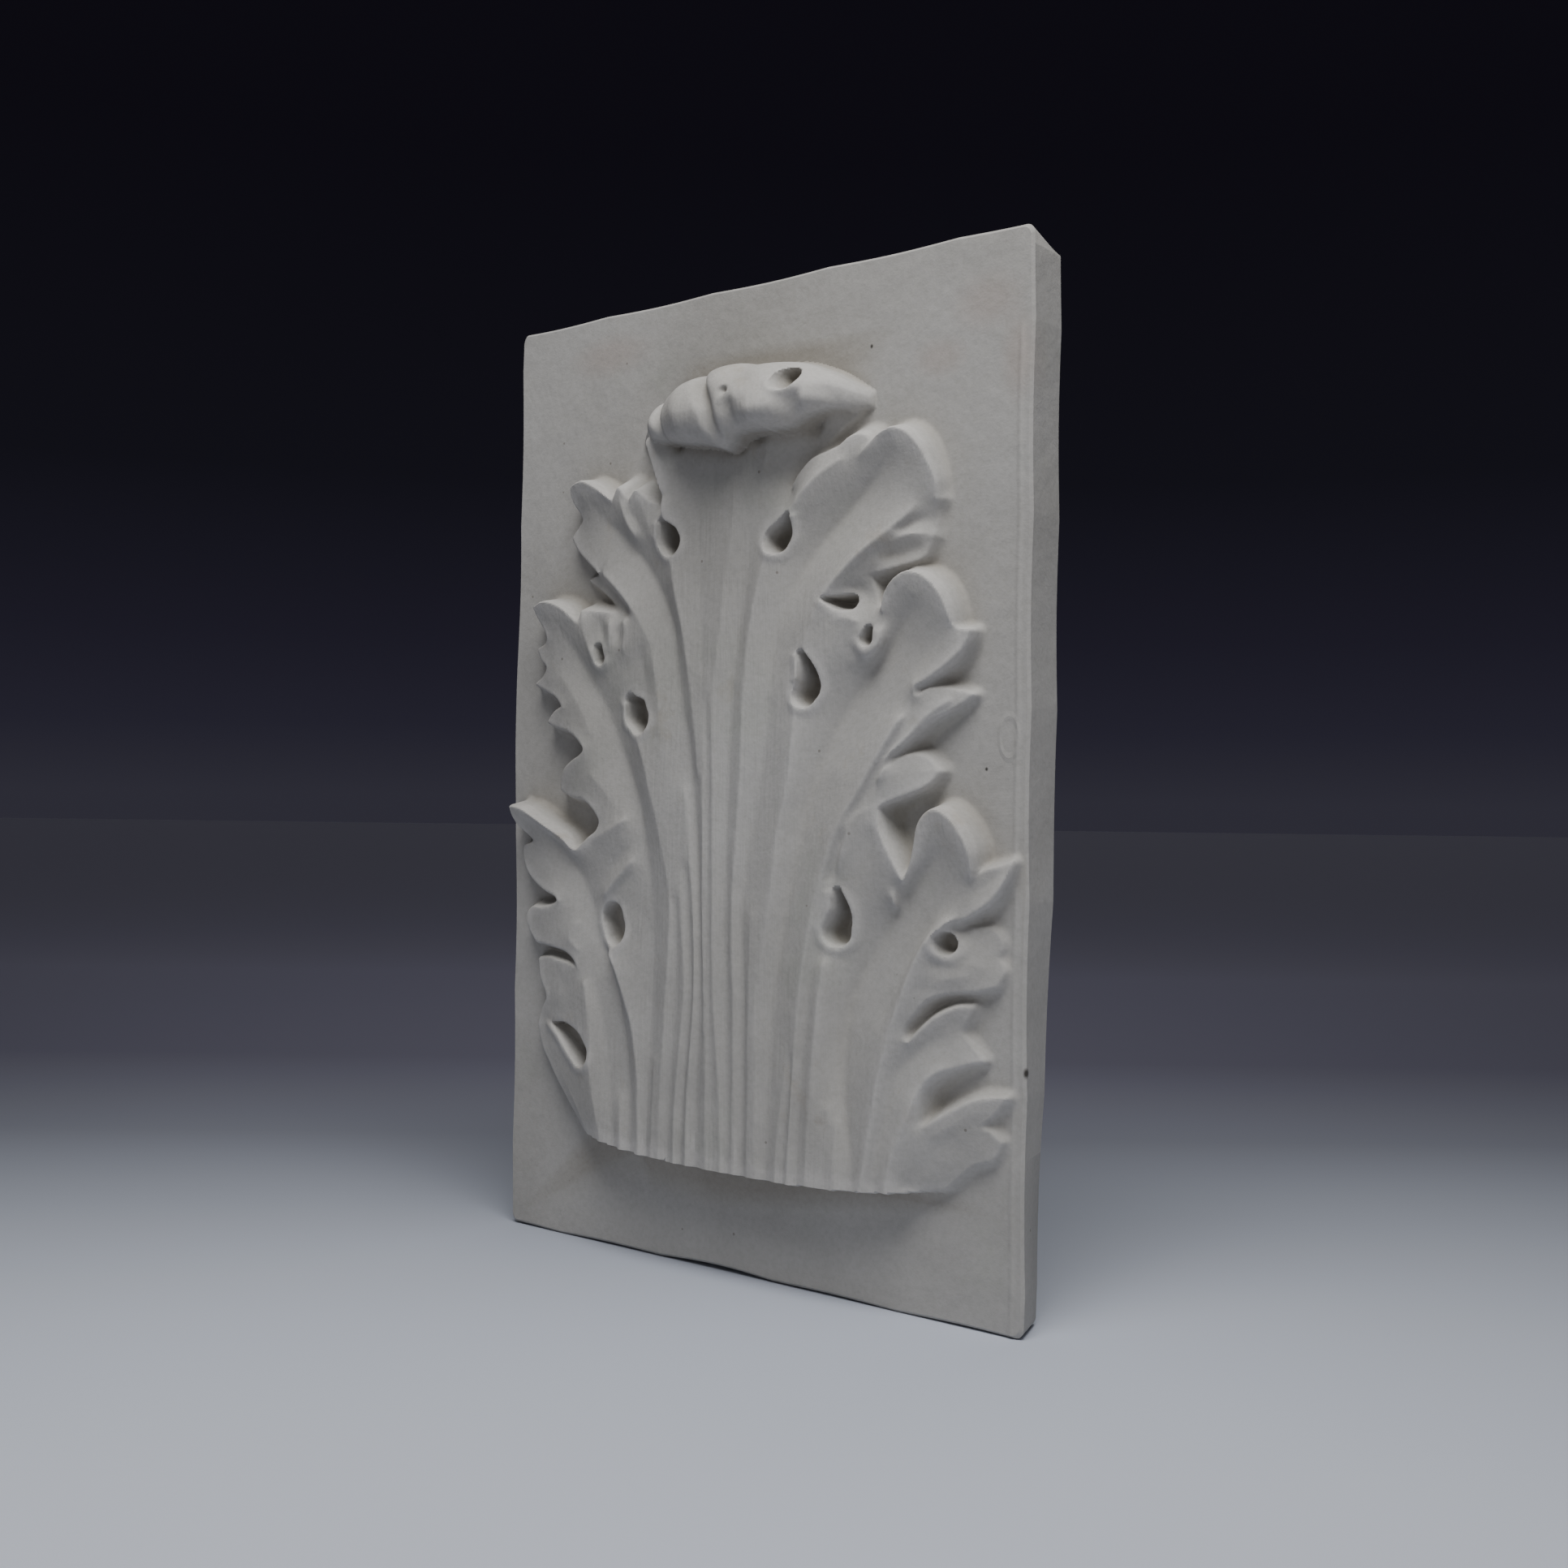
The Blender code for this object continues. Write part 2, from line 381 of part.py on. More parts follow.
def lower_right_lobe(relief):
    relief.lines(
        [(63, -190, 16.4), (62.5, -165, 16.4), (63, -140, 15.6)],
        [(68, -190, 17), (67.5, -165, 16.6), (67, -145, 14.8)],
        [(74.5, -190, 14.2), (74.5, -165, 13.6), (73, -138, 11.5), (73.5, -115, 9.8), (79, -92, 8.8),
         (87, -75, 8.5), (96, -61, 8.5), (104, -49, 8.7), (110, -40, 9.2), (114, -32, 10), (117, -24, 11.5), (117, -18, 13.5)],
        [(88, -100, 10.5), (98, -80, 10), (108, -64, 9.5), (116, -52, 9), (121, -42, 9)],
        [(56, -66, 15.3), (53, -85, 15.4), (51.5, -100, 15.6), (48.5, -140, 16.2), (47.7, -190, 16.3)],
        [(60.5, -78, 16.6), (59, -90, 17), (58, -100, 17.3), (55.5, -130, 17.6), (53.5, -165, 17.8),
         (53.5, -190, 17.8)],
        [(80.5, -190, 16), (80.5, -175, 16), (83, -160, 15.8), (87, -135, 15.5), (90, -120, 15.3),
         (94, -106, 15), (100, -90, 14.8), (105, -78, 14.6), (110, -69, 14.3), (117, -61.5, 13.5),
         (124, -57, 11.5)],
        [(62.5, -44, 13), (66, -34, 14), (70.5, -23, 14.5)],
        [(65.5, -43, 14), (68, -34, 15.8), (71.5, -24, 16), (76, -16.5, 15.5), (83, -12.5, 14)],
        [(74, -56, 11.8), (77, -43, 12), (80, -31, 12.2), (82, -22, 12.8)],
        [(92, -48, 12), (94, -56, 10)],
        [(131, -47, 7.5), (137, -42.5, 6.5), (142, -38, 6)],
        [(112, -77, 10.5), (124, -76, 8.5), (134, -77, 6)],
        [(106, -88, 11.5), (116, -83, 10.5), (128, -80.5, 8)],
        [(86, -190, 12), (86.5, -165, 12.5), (92, -140, 11.5), (97, -122, 10), (107, -112, 8.5),
         (117, -106, 7)],
        [(91, -190, 14), (93, -165, 14), (98, -150, 13.5), (103, -139, 13), (106, -131, 12), (112, -123, 10.5),
         (121, -118, 8)],
        [(99, -172, 8), (110, -158, 7), (122, -147, 6)],
        [(108, -150, 9), (120, -142, 8), (133, -134, 6.5)])


def upper_left_lobe(relief):
    relief.lines(
        [(-21.5, 30, 15.2), (-27, 55, 13.8), (-30.5, 69, 12.5), (-38.5, 84, 11), (-49.5, 98, 9.8),
         (-63, 111, 9), (-77, 122, 8.8), (-86, 130, 9.5), (-91, 136, 12)],
        [(-43.5, 62, 15.5), (-48.5, 70, 15.3), (-56, 79, 15), (-63.5, 86, 14), (-72.5, 93, 12.5),
         (-80, 98, 11)],
        [(-42, 58, 15.8), (-38.5, 44, 16.3), (-36, 30, 16.8), (-34, 12, 17.2), (-33, -4, 17.5)],
        [(-42, 110, 15), (-45.5, 117, 14.5), (-50, 126, 14), (-54, 132, 14.2)],
        [(-50, 111, 12.5), (-55, 119, 12), (-60, 126, 12.5)],
        [(-56, 113, 13), (-61, 121, 14), (-65.5, 132, 14.5)],
        [(-68, 122, 11.5), (-75, 130, 12), (-82, 136, 14)],
        [(-60, 76, 10), (-68, 84, 8.5), (-77, 91, 7), (-86, 95.5, 5.5)])


def middle_left_lobe(relief):
    relief.lines(
        [(-36.5, -190, 18.2), (-36, -165, 18.1), (-34.5, -130, 17.6)],
        [(-40.5, -190, 16.4), (-40.5, -165, 16.3), (-38, -105, 15.8), (-40, -62, 14.4), (-45, -36, 13),
         (-52, -12, 11.5), (-62, 9, 10.3), (-74, 30, 9.5), (-86, 46, 9.3), (-97, 60, 9.8), (-106, 71, 11.5),
         (-114, 81, 14)],
        [(-50, 17, 16.5), (-45, 8, 17.4), (-41, -5, 17.7), (-37, -15, 17.9), (-33, -28, 18.1),
         (-29, -42, 18.3), (-26, -60, 18.5), (-28, -100, 18.5), (-30.5, -145, 18.5), (-31.5, -190, 18.5)],
        [(-84, 20, 12.8), (-90, 30, 12.2), (-98, 40, 11.5), (-108, 50, 10.5)],
        [(-62, -20, 14.3), (-72, -8, 14), (-84, 2, 13.5)],
        [(-90, 79, 14), (-89, 71, 14), (-85, 62, 13.6), (-81.5, 55, 12.8)],
        [(-79, 75, 11.5), (-77, 66, 11)],
        [(-72, 75, 14), (-71, 66, 14.3), (-73, 57, 13)],
        [(-67, 73, 12), (-66, 64, 12.3)],
        [(-62, 75, 14.8), (-60, 67, 15), (-62, 59, 15)],
        [(-60, 53, 13), (-61, 44, 13)],
        [(-51, 58, 13.5), (-47.5, 46, 13.7), (-44.5, 34, 14.5)])


def lower_left_lobe(relief):
    relief.lines(
        [(-57.5, -190, 17), (-57.5, -168, 16.8), (-59, -150, 15)],
        [(-52, -190, 15.8), (-52, -165, 15.4), (-54.5, -140, 13.3), (-60, -116, 11.5), (-67, -97, 10),
         (-75.5, -78, 9.2), (-84, -61, 9), (-94, -45, 9.3), (-104, -35, 10), (-114, -27, 12),
         (-127, -19, 14.5)],
        [(-68, -83, 16), (-61.5, -92, 16.8), (-55, -105, 17.3), (-50.5, -115, 17.6), (-47.5, -128, 17.8),
         (-45.5, -145, 17.9), (-44.5, -190, 17.9)],
        [(-92, -70, 12), (-97, -78, 12.5), (-90, -84, 13)],
        [(-86, -98, 13.5), (-83, -112, 13.8), (-81, -128, 14), (-80, -142, 14.5), (-76, -158, 15),
         (-72, -172, 15), (-70, -190, 15)],
        [(-62, -190, 15.5), (-64, -165, 14.5), (-68, -140, 12.5), (-73, -118, 11.5), (-80, -98, 11)],
        [(-100, -100, 10.5), (-106, -108, 10), (-112, -116, 8)],
        [(-82, -176, 11), (-90, -163, 10.5), (-100, -150, 9), (-108, -140, 8)],
        [(-83, -31, 13), (-76, -28, 14.5), (-66, -24, 15.6), (-58, -20, 16)],
        [(-55, -31, 13.5), (-65, -40, 12), (-78, -53, 10.8)],
        [(-74, -57, 12.5), (-65, -48.5, 14), (-53, -39, 15.2)],
        [(-72, -60.5, 11), (-64, -52, 12), (-53, -45, 13.8)])


def drilled_holes(relief):
    # the six eyes between the lobes
    relief.hole([(36.5, 115, 1.5), (34, 109, 5), (31, 105, 6)])
    relief.hole([(-38, 119, 1.5), (-34, 112, 6), (-31.5, 108.5, 6)])
    relief.hole([(46, 54, 1.5), (49, 46, 4), (49.5, 40, 5.5), (47.5, 36, 5)])
    relief.hole([(-58, 36.5, 3.5), (-54.5, 31.5, 7.5), (-50.5, 27, 6.5)])
    relief.hole([(66, -48, 1.5), (67.5, -58, 4.5), (65.5, -66, 6)])
    relief.hole([(-69, -67, 8), (-67, -72, 8)])
    # smaller holes between leaflets
    relief.hole([(58, 77, 1), (64, 75.5, 3.3), (69, 75.5, 4)], floor=2.5, lip=0.3)
    relief.hole([(79.5, 63, 2.5), (78.5, 59, 3.5)], floor=4)
    relief.hole([(-79.5, 62, 2.5), (-78.5, 57, 3)])
    relief.hole([(118.5, -67, 4.8), (119, -68, 5)], floor=2.5)
    relief.hole([(-112, -121, 1.5), (-104, -123.5, 4.5), (-95, -128.5, 6.5), (-89, -133.5, 6)], floor=1)


def curl(relief):
    """The leaf's tip, rolled forward over the stem and parted into rounded fingers."""
    x, z = relief.across, relief.up
    # each row: x, top, height at the top's brow, crest, height at the crest, low edge, height there
    shape = smooth_rows([
        (-56, 163, 0, 160, 1, 158, 0), (-48, 168, 6, 160, 10, 156, 4), (-43, 171, 10, 160, 17, 155.5, 9),
        (-36, 175.5, 14, 161, 25, 154.5, 17), (-26, 180.5, 17, 162, 31, 153, 22),
        (-14, 184.5, 19, 162, 34, 150.5, 24), (-4, 186.5, 20, 162, 36, 149, 25), (4, 187.5, 20, 161, 37, 147, 25),
        (9, 187.5, 20, 162, 37, 145.5, 24), (13, 186.8, 19, 163, 37.5, 147.5, 25), (18, 186, 19, 164, 37.5, 151, 27),
        (26, 185.5, 18, 164, 36.5, 152, 27), (34, 184.8, 16, 163.5, 34, 151.5, 25), (42, 183, 14, 164, 31, 153, 21),
        (50, 180, 11, 166, 26, 156, 16), (58, 175.5, 8, 168, 18, 161, 12), (66, 169, 4, 165.5, 9, 161, 5),
        (72, 164, 0, 162.5, 2, 160.5, 0)])
    top, brow, crest, height, low, lip = (np.interp(x, shape[:, 0], shape[:, k]) for k in range(1, 7))
    above = np.clip((z - crest) / (top - crest), 0, 1)
    below = np.clip((crest - z) / (crest - low), 0, 1)
    upper = brow * np.sqrt(1 - above ** 6) + (height - brow) * (1 - above ** 1.6)
    under = lip + (height - lip) * np.sqrt(1 - below ** 2.2)
    roll = np.where(z > crest, upper, under)
    within = (z > low) & (z < top) & (x > shape[0, 0]) & (x < shape[-1, 0])
    relief.height = np.maximum(relief.height, np.where(within, roll, 0))
    # creases between the fingers
    relief.crease([(-42, 172, 2, -2.5), (-43, 166, 2, -3), (-44.5, 161, 2, -3), (-43, 156, 2, -2)])
    relief.crease([(-31, 180, 2.5, -2), (-30, 171, 2.5, -3.5), (-28, 164, 2.2, -4), (-27, 158, 2.2, -3.5),
                   (-27, 153, 2, -2.5)])
    relief.crease([(-11, 190, 2.4, -4), (-6, 180, 2.4, -6), (1, 171, 2.4, -6), (6.5, 164, 2.4, -5.5),
                   (8, 158, 2.4, -4), (10, 152, 2.5, -3.5), (12, 147, 2.5, -2)])
    relief.crease([(13, 190, 3, -2), (19, 181, 3, -2), (26, 174, 3, -1)])
    # lumps on the fingers, and hollows between the lumps of the underside
    relief.crease([(-20, 184, 6, 1.5), (-16, 172, 6, 2), (-12, 162, 6, 1.5)])
    relief.crease([(0, 188, 6, 1.5), (8, 176, 7, 2), (16, 166, 6, 1)])
    relief.crease([(24, 158, 5, 1.5), (31, 157, 6, 2.5), (38, 157, 5, 1.5)])
    relief.crease([(20, 165, 2.5, -2), (20, 158, 2.5, -3.5), (21, 151, 2.5, -3)])
    relief.crease([(47, 166, 2.5, -1.5), (46.5, 159, 2.5, -3.5), (44, 152, 2, -2.5)])
    relief.hole([(40.5, 175.5, 3.2), (45.5, 174.5, 3.2)], floor=10, lip=1.5)


def cut_base(relief):
    """The leaf is cut square at the foot, with a slightly bowed edge."""
    foot = LEAF_GRID_BASE + 4.5 * (np.abs(relief.across - 10) / 95) ** 3
    relief.height = np.where(relief.up < foot, 0, relief.height)


def leaf_relief(x, z):
    relief = Relief(x, z)
    top = [(3, [(67, 159, 3), (40, 170, 10), (0, 172, 12), (-40, 168, 8), (-60, 160, 2)])]
    foot = [(3, [(-84, -176, 9), (-84, -190, 9)]), (3, [(-84, -190, 9), (104, -190, 4)]),
            (3, [(104, -190, 4), (104, -176, 4)])]
    arcs = right_edge() + top + left_edge() + foot
    for _, rows in right_edge() + left_edge():
        relief.line(rows)
    stem(relief)
    upper_right_lobe(relief)
    middle_right_lobe(relief)
    lower_right_lobe(relief)
    upper_left_lobe(relief)
    middle_left_lobe(relief)
    lower_left_lobe(relief)
    relief.stretch()
    relief.cut_out(arcs)
    relief.round_hollows(1.6)
    drilled_holes(relief)
    curl(relief)
    cut_base(relief)
    relief.height = relief.softened(0.6)
    return relief.height


def corner_rounding(x, z, radius):
    """A true rectangle's points with its corners drawn in to a radius."""
    inner_x = SLAB_WIDTH / 2 - radius
    inner_z = SLAB_HEIGHT / 2 - radius
    over_x = np.maximum(np.abs(x) - inner_x, 0)
    over_z = np.maximum(np.abs(z) - inner_z, 0)
    far = np.maximum(np.hypot(over_x, over_z), 1e-9)
    pull = np.maximum(over_x, over_z) / far
    new_x = np.minimum(np.abs(x), inner_x) + over_x * pull
    new_z = np.minimum(np.abs(z), inner_z) + over_z * pull
    return np.sign(x) * new_x, np.sign(z) * new_z


def slab_outline(x, z):
    """Where a point of a true rectangle lies on the cast slab: soft corners and slightly worn edges."""
    share_x = x / (SLAB_WIDTH / 2)
    share_z = z / (SLAB_HEIGHT / 2)
    new_x, new_z = corner_rounding(x, z, CORNER_RADIUS)
    wave_x = EDGE_WAVE * np.abs(np.sin(9 * share_z + 2 * np.sign(x)))
    wave_z = EDGE_WAVE * np.abs(np.sin(7 * share_x + np.sign(z)))
    bulge = np.exp(-((share_z - 0.1) / 0.25) ** 2)
    wear = FOOT_WEAR * np.exp(-((share_x + 0.07) / 0.25) ** 2)
    inset_x = np.where(x < 0, (LEFT_BULGE + wave_x) * (1 - bulge), wave_x)
    inset_z = np.where(z < 0, wave_z + wear, wave_z)
    side = np.abs(share_x) ** 12
    end = np.abs(share_z) ** 12
    return new_x - side * inset_x * np.sign(x), new_z - end * inset_z * np.sign(z)


def worn_back(x, z):
    """Where a point of the rim lies at the back: the right side slopes in and one corner is knocked off."""
    share_x = x / (SLAB_WIDTH / 2)
    share_z = z / (SLAB_HEIGHT / 2)
    new_x = x - BACK_TAPER * ease(-share_z) * max(share_x, 0) ** 8
    beyond = max(new_x + z - (SLAB_WIDTH + SLAB_HEIGHT) / 2 + BACK_CORNER, 0)
    return new_x - beyond / 2, z - beyond / 2


def grid_coordinates(points):
    """The grid's distinct X and Z values, and each point's column and row."""
    columns = np.round(points[:, 0], 7)
    rows = np.round(points[:, 1], 7)
    x, column = np.unique(columns, return_inverse=True)
    z, row = np.unique(rows, return_inverse=True)
    return x, z, column, row


def front_face(mesh):
    """The slab's front as a grid, with the leaf raised from it."""
    columns = round(SLAB_WIDTH / GRID_STEP)
    rows = round(SLAB_HEIGHT / GRID_STEP)
    bmesh.ops.create_grid(mesh, x_segments=columns, y_segments=rows, size=0.5)
    points = np.array([v.co for v in mesh.verts])
    x, z, column, row = grid_coordinates(points)
    unit = LEAF_HEIGHT / LEAF_GRID_HEIGHT
    leaf_foot = LEAF_BASE_ABOVE_BOTTOM - SLAB_HEIGHT / 2
    leaf_x = x * SLAB_WIDTH / unit
    leaf_z = (z * SLAB_HEIGHT - leaf_foot) / unit + LEAF_GRID_BASE
    height = leaf_relief(leaf_x, leaf_z)[row, column] * unit
    front_width = SLAB_WIDTH - 2 * FRONT_EDGE_ROUND
    front_height = SLAB_HEIGHT - 2 * FRONT_EDGE_ROUND
    place_x, place_z = slab_outline(points[:, 0] * front_width, points[:, 1] * front_height)
    for v, px, pz, h in zip(mesh.verts, place_x, place_z, height):
        v.co = (px, -SLAB_THICKNESS - h, pz)


def extrude_rim(mesh, depth, inset, worn=False):
    """A new ring behind the open rim, at a depth from the back plane and pulled in by an inset."""
    rim = [edge for edge in mesh.edges if edge.is_boundary]
    made = bmesh.ops.extrude_edge_only(mesh, edges=rim)["geom"]
    for v in made:
        if isinstance(v, bmesh.types.BMVert):
            v.co.x *= 1 - inset / (SLAB_WIDTH / 2)
            v.co.z *= 1 - inset / (SLAB_HEIGHT / 2)
            v.co.y = -depth
            if worn:
                v.co.x, v.co.z = worn_back(v.co.x, v.co.z)


def slab_body(mesh):
    """The rounded front edge, the sides and the flat back."""
    for v in mesh.verts:
        if v.is_boundary:
            v.co.y = -SLAB_THICKNESS
    extrude_rim(mesh, SLAB_THICKNESS - FRONT_EDGE_ROUND, -FRONT_EDGE_ROUND)
    extrude_rim(mesh, BACK_EDGE_ROUND, 0, worn=True)
    extrude_rim(mesh, 0, BACK_EDGE_ROUND)
    rim = [edge for edge in mesh.edges if edge.is_boundary]
    bmesh.ops.holes_fill(mesh, edges=rim, sides=0)
    bmesh.ops.recalc_face_normals(mesh, faces=mesh.faces)


def plaster():
    material = bpy.data.materials.new("plaster")
    material.use_nodes = True
    shader = material.node_tree.nodes["Principled BSDF"]
    shader.inputs["Base Color"].default_value = PLASTER_COLOUR
    shader.inputs["Roughness"].default_value = PLASTER_ROUGHNESS
    shader.inputs["Metallic"].default_value = 0.0
    return material


def relief_panel(collection):
    mesh = bmesh.new()
    front_face(mesh)
    slab_body(mesh)
    data = bpy.data.meshes.new(NAME)
    mesh.to_mesh(data)
    mesh.free()
    data.materials.append(plaster())
    data.shade_smooth()
    data.set_sharp_from_angle(angle=np.radians(40))
    panel = bpy.data.objects.new(NAME, data)
    collection.objects.link(panel)
    data.calc_loop_triangles()
    fewer = panel.modifiers.new("Fewer triangles", "DECIMATE")
    fewer.decimate_type = "COLLAPSE"
    fewer.ratio = TRIANGLES / len(data.loop_triangles)
    return panel


def main():
    clear_scene()
    collection = bpy.data.collections.new("Plaster relief")
    bpy.context.scene.collection.children.link(collection)
    relief_panel(collection)


main()
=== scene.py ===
"""Plaster cast relief of an acanthus leaf: fine carving, plaster finish, light and camera.

Metres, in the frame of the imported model: +Z up, the leaf faces -Y, the back lies in the plane Y = 0.
The carving is drawn on a leaf grid: one grid unit is 1/365 of the leaf's height, X to the right,
Z up from the middle of the grid, and heights count out of the slab's front face.
"""

import bmesh
import bpy
import numpy as np
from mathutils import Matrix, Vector

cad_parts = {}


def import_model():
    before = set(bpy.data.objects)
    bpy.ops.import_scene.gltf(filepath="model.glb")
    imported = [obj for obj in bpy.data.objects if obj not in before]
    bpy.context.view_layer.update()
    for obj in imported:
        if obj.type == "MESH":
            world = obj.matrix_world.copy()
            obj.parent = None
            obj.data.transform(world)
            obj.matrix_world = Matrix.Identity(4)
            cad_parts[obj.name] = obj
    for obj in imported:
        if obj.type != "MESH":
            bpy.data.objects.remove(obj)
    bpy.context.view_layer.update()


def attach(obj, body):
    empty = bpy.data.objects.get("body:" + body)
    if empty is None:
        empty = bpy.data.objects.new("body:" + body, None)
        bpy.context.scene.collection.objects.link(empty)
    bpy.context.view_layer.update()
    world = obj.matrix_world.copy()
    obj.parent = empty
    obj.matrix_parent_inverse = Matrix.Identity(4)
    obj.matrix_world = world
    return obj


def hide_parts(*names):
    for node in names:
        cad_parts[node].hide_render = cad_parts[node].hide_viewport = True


NODE = "acanthus_relief_panel"
BODY = "root"

# Slab
SLAB_WIDTH = 0.300
SLAB_HEIGHT = 0.450
SLAB_THICKNESS = 0.024
FRONT_EDGE_ROUND = 0.0012
BACK_EDGE_ROUND = 0.0020
CORNER_RADIUS = 0.0040
EDGE_WAVE = 0.0008
LEFT_BULGE = 0.0020
FOOT_WEAR = 0.0012
BACK_TAPER = 0.0065
BACK_CORNER = 0.0100
RIM_FADE = 0.0025
ARRIS_X = 0.1458
ARRIS_WIDTH = 0.0011
ARRIS_HEIGHT = 0.0005
ARRIS_TOP = 0.188
ARRIS_FADE = 0.01

# Where the slab's outline is uneven, as shares of half its width or height
SIDE_WAVES = 9
END_WAVES = 7
LEFT_BULGE_PLACE = 0.1
FOOT_WEAR_PLACE = -0.07
WORN_REACH = 0.25
EDGE_GRIP = 12
TAPER_GRIP = 8

# Leaf
LEAF_HEIGHT = 0.365
LEAF_BASE_ABOVE_BOTTOM = 0.048
LEAF_GRID_HEIGHT = 365.0
LEAF_GRID_BASE = -177.0

# Surface of the leaf, in grid units
LINE_FADE = 6.0
HOLLOW_ROUNDING = 1.6
CAST_SOFTNESS = 0.6
FOOT_MIDDLE = 10.0
FOOT_HALF_WIDTH = 95.0
FOOT_BOW = 4.5

# Fine mesh
GRID_STEP = 0.0007
TRIANGLES = 185000
SHARP_DEGREES = 32
FLAT = 0.9999
HOLLOW_SWEEPS = 150

# Marks on the slab: centres and radii. The pits are painted shade, dark spots with no hollow in the surface
PINK_BLOTCHES = (
    ((0.128, -0.024, 0.196), (0.020, 0.02, 0.014)),
    ((0.143, -0.024, 0.172), (0.010, 0.02, 0.022)),
    ((0.105, -0.024, 0.176), (0.016, 0.02, 0.010)),
    ((-0.085, -0.024, 0.205), (0.030, 0.02, 0.012)),
)
# Pits painted as dark spots of shade
PAINTED_SHADE_PITS = (
    ((0.1495, -0.023, -0.118), (0.0012, 0.003, 0.0026)),
    ((0.0700, -0.024, 0.186), (0.0009, 0.003, 0.0012)),
    ((0.1300, -0.024, 0.004), (0.0009, 0.003, 0.0010)),
)
RING_CENTRE = (0.1405, -0.024, 0.017)
RING_SIZE = (0.0045, 0.02, 0.0085)

# Plaster's colours, the tints that darken or pale them, some of them painted shade and painted highlight, and
# the depths and heights where these start and end
PLASTER_TONES = (
    (0.32, (0.380, 0.366, 0.342)),
    (0.50, (0.440, 0.425, 0.401)),
    (0.68, (0.480, 0.468, 0.447)),
)
SPECKLE_TONES = (
    (0.30, (0.93, 0.93, 0.92)),
    (0.55, (1.0, 1.0, 1.0)),
    (0.75, (1.035, 1.035, 1.035)),
)
# Dust and painted shade: this tint darkens the hollows, where shade would fall
DUST_AND_SHADE_TINT = (0.80, 0.775, 0.73, 1)
DUST_AND_SHADE_DEPTHS = (0.0004, 0.0045)
# Rubbed wear and a painted highlight: this tint pales the crests that stand out, as light would
RUBBED_AND_HIGHLIGHT_TINT = (1.16, 1.16, 1.17, 1)
RUBBED_AND_HIGHLIGHT_DEPTHS = (-0.0003, -0.0022)
STAIN_TINT = (0.90, 0.86, 0.80, 1)
STAINED_HEIGHTS = (0.001, 0.012)
BLOOM_TINT = (0.93, 0.955, 0.92, 1)
BLOOM_STRENGTH = 0.8
PINK_TINT = (0.97, 0.87, 0.83, 1)
PINK_STRENGTH = 0.55
PIT_SHADE_TINT = (0.15, 0.14, 0.13, 1)
# Painted shade in the pinholes
PINHOLE_SHADE_TINT = (0.62, 0.60, 0.57, 1)
PLASTER_ROUGHNESS = 0.8
PLASTER_GLOSS = 0.3

# Plaster's surface. Each row of unevenness: noise scale, detail, bump strength and bump depth
UNEVENNESS = (
    (950, 3, 0.22, 0.0004),
    (120, 4, 0.30, 0.0012),
    (26, 3, 0.30, 0.0035),
)
STREAK_STRETCH = (1, 1, 0.06)
STREAKED_HEIGHTS = (0.006, 0.014)
PINHOLE_CELLS = 95.0
PINHOLE_EDGE = (0.075, 0.045)
PINHOLES_CHOSEN = (0.86, 0.88)

# Floor, with painted light and shade that pales it toward the camera and darkens it further back, and
# backdrop
FLOOR_SIZE = 12.0
FLOOR_PAINTED_SHADE_SPAN = (-0.5, 2.0)
FLOOR_PAINTED_SHADE_TONES = (
    (0.0, (0.82, 0.86, 0.97)),
    (0.16, (0.58, 0.615, 0.70)),
    (0.24, (0.40, 0.425, 0.49)),
    (0.32, (0.25, 0.26, 0.31)),
    (0.45, (0.19, 0.185, 0.25)),
    (0.72, (0.32, 0.31, 0.42)),
)
BACKDROP = (
    (0.0, (0.0320, 0.0305, 0.0430)),
    (0.04, (0.0215, 0.0200, 0.0320)),
    (0.09, (0.0155, 0.0140, 0.0235)),
    (0.18, (0.0085, 0.0080, 0.0125)),
    (0.35, (0.0062, 0.0054, 0.0090)),
)
FLOOR_ROUGHNESS = 0.95
FLOOR_GLOSS = 0.1

# Lights: a soft key from the upper right, and wide suns that fill the shadows
KEY_PLACE = (0.30, -0.41, 0.95)
KEY_AIM = (0, -0.08, -0.05)
KEY_SIZE = (0.75, 0.55)
KEY_POWER = 5.6
KEY_SPREAD = 120
SUN_WIDTH = 60
SUNS = (
    ("front", (0.3, -0.8, 0.1), 0.26),
    ("right", (0.9, -0.2, 0.1), 0.24),
    ("back", (-0.5, 0.8, 0.6), 0.36),
)

# Camera, as the photograph was taken
CAMERA_PLACE = (0.4976, -0.6251, -0.0090)
CAMERA_TURN = (90.484, -0.722, 38.168)
LENS = 39.40
SENSOR = 36.0
CLIP_START = 0.01


def smooth_rows(rows, steps=8):
    """A Catmull-Rom curve through rows of numbers, as many columns as the rows have."""
    p = np.array(rows, float)
    p = np.vstack([2 * p[0] - p[1], p, 2 * p[-1] - p[-2]])
    points = []
    for i in range(1, len(p) - 2):
        a, b, c, d = p[i - 1:i + 3]
        for t in np.linspace(0, 1, steps, endpoint=False):
            square = (2 * a - 5 * b + 4 * c - d) * t ** 2
            cube = (3 * b - a - 3 * c + d) * t ** 3
            points.append(0.5 * (2 * b + (c - a) * t + square + cube))
    points.append(p[-2])
    return np.array(points)


def ease(share):
    """0 to 1 with a soft start and end."""
    share = np.clip(share, 0, 1)
    return share * share * (3 - 2 * share)


def four_around(height):
    """The sum of each place's four neighbours."""
    p = np.pad(height, 1, mode="edge")
    return p[:-2, 1:-1] + p[2:, 1:-1] + p[1:-1, :-2] + p[1:-1, 2:]


def blurred(height, sweeps):
    for _ in range(sweeps):
        height = (four_around(height) + 4 * height) / 8
    return height


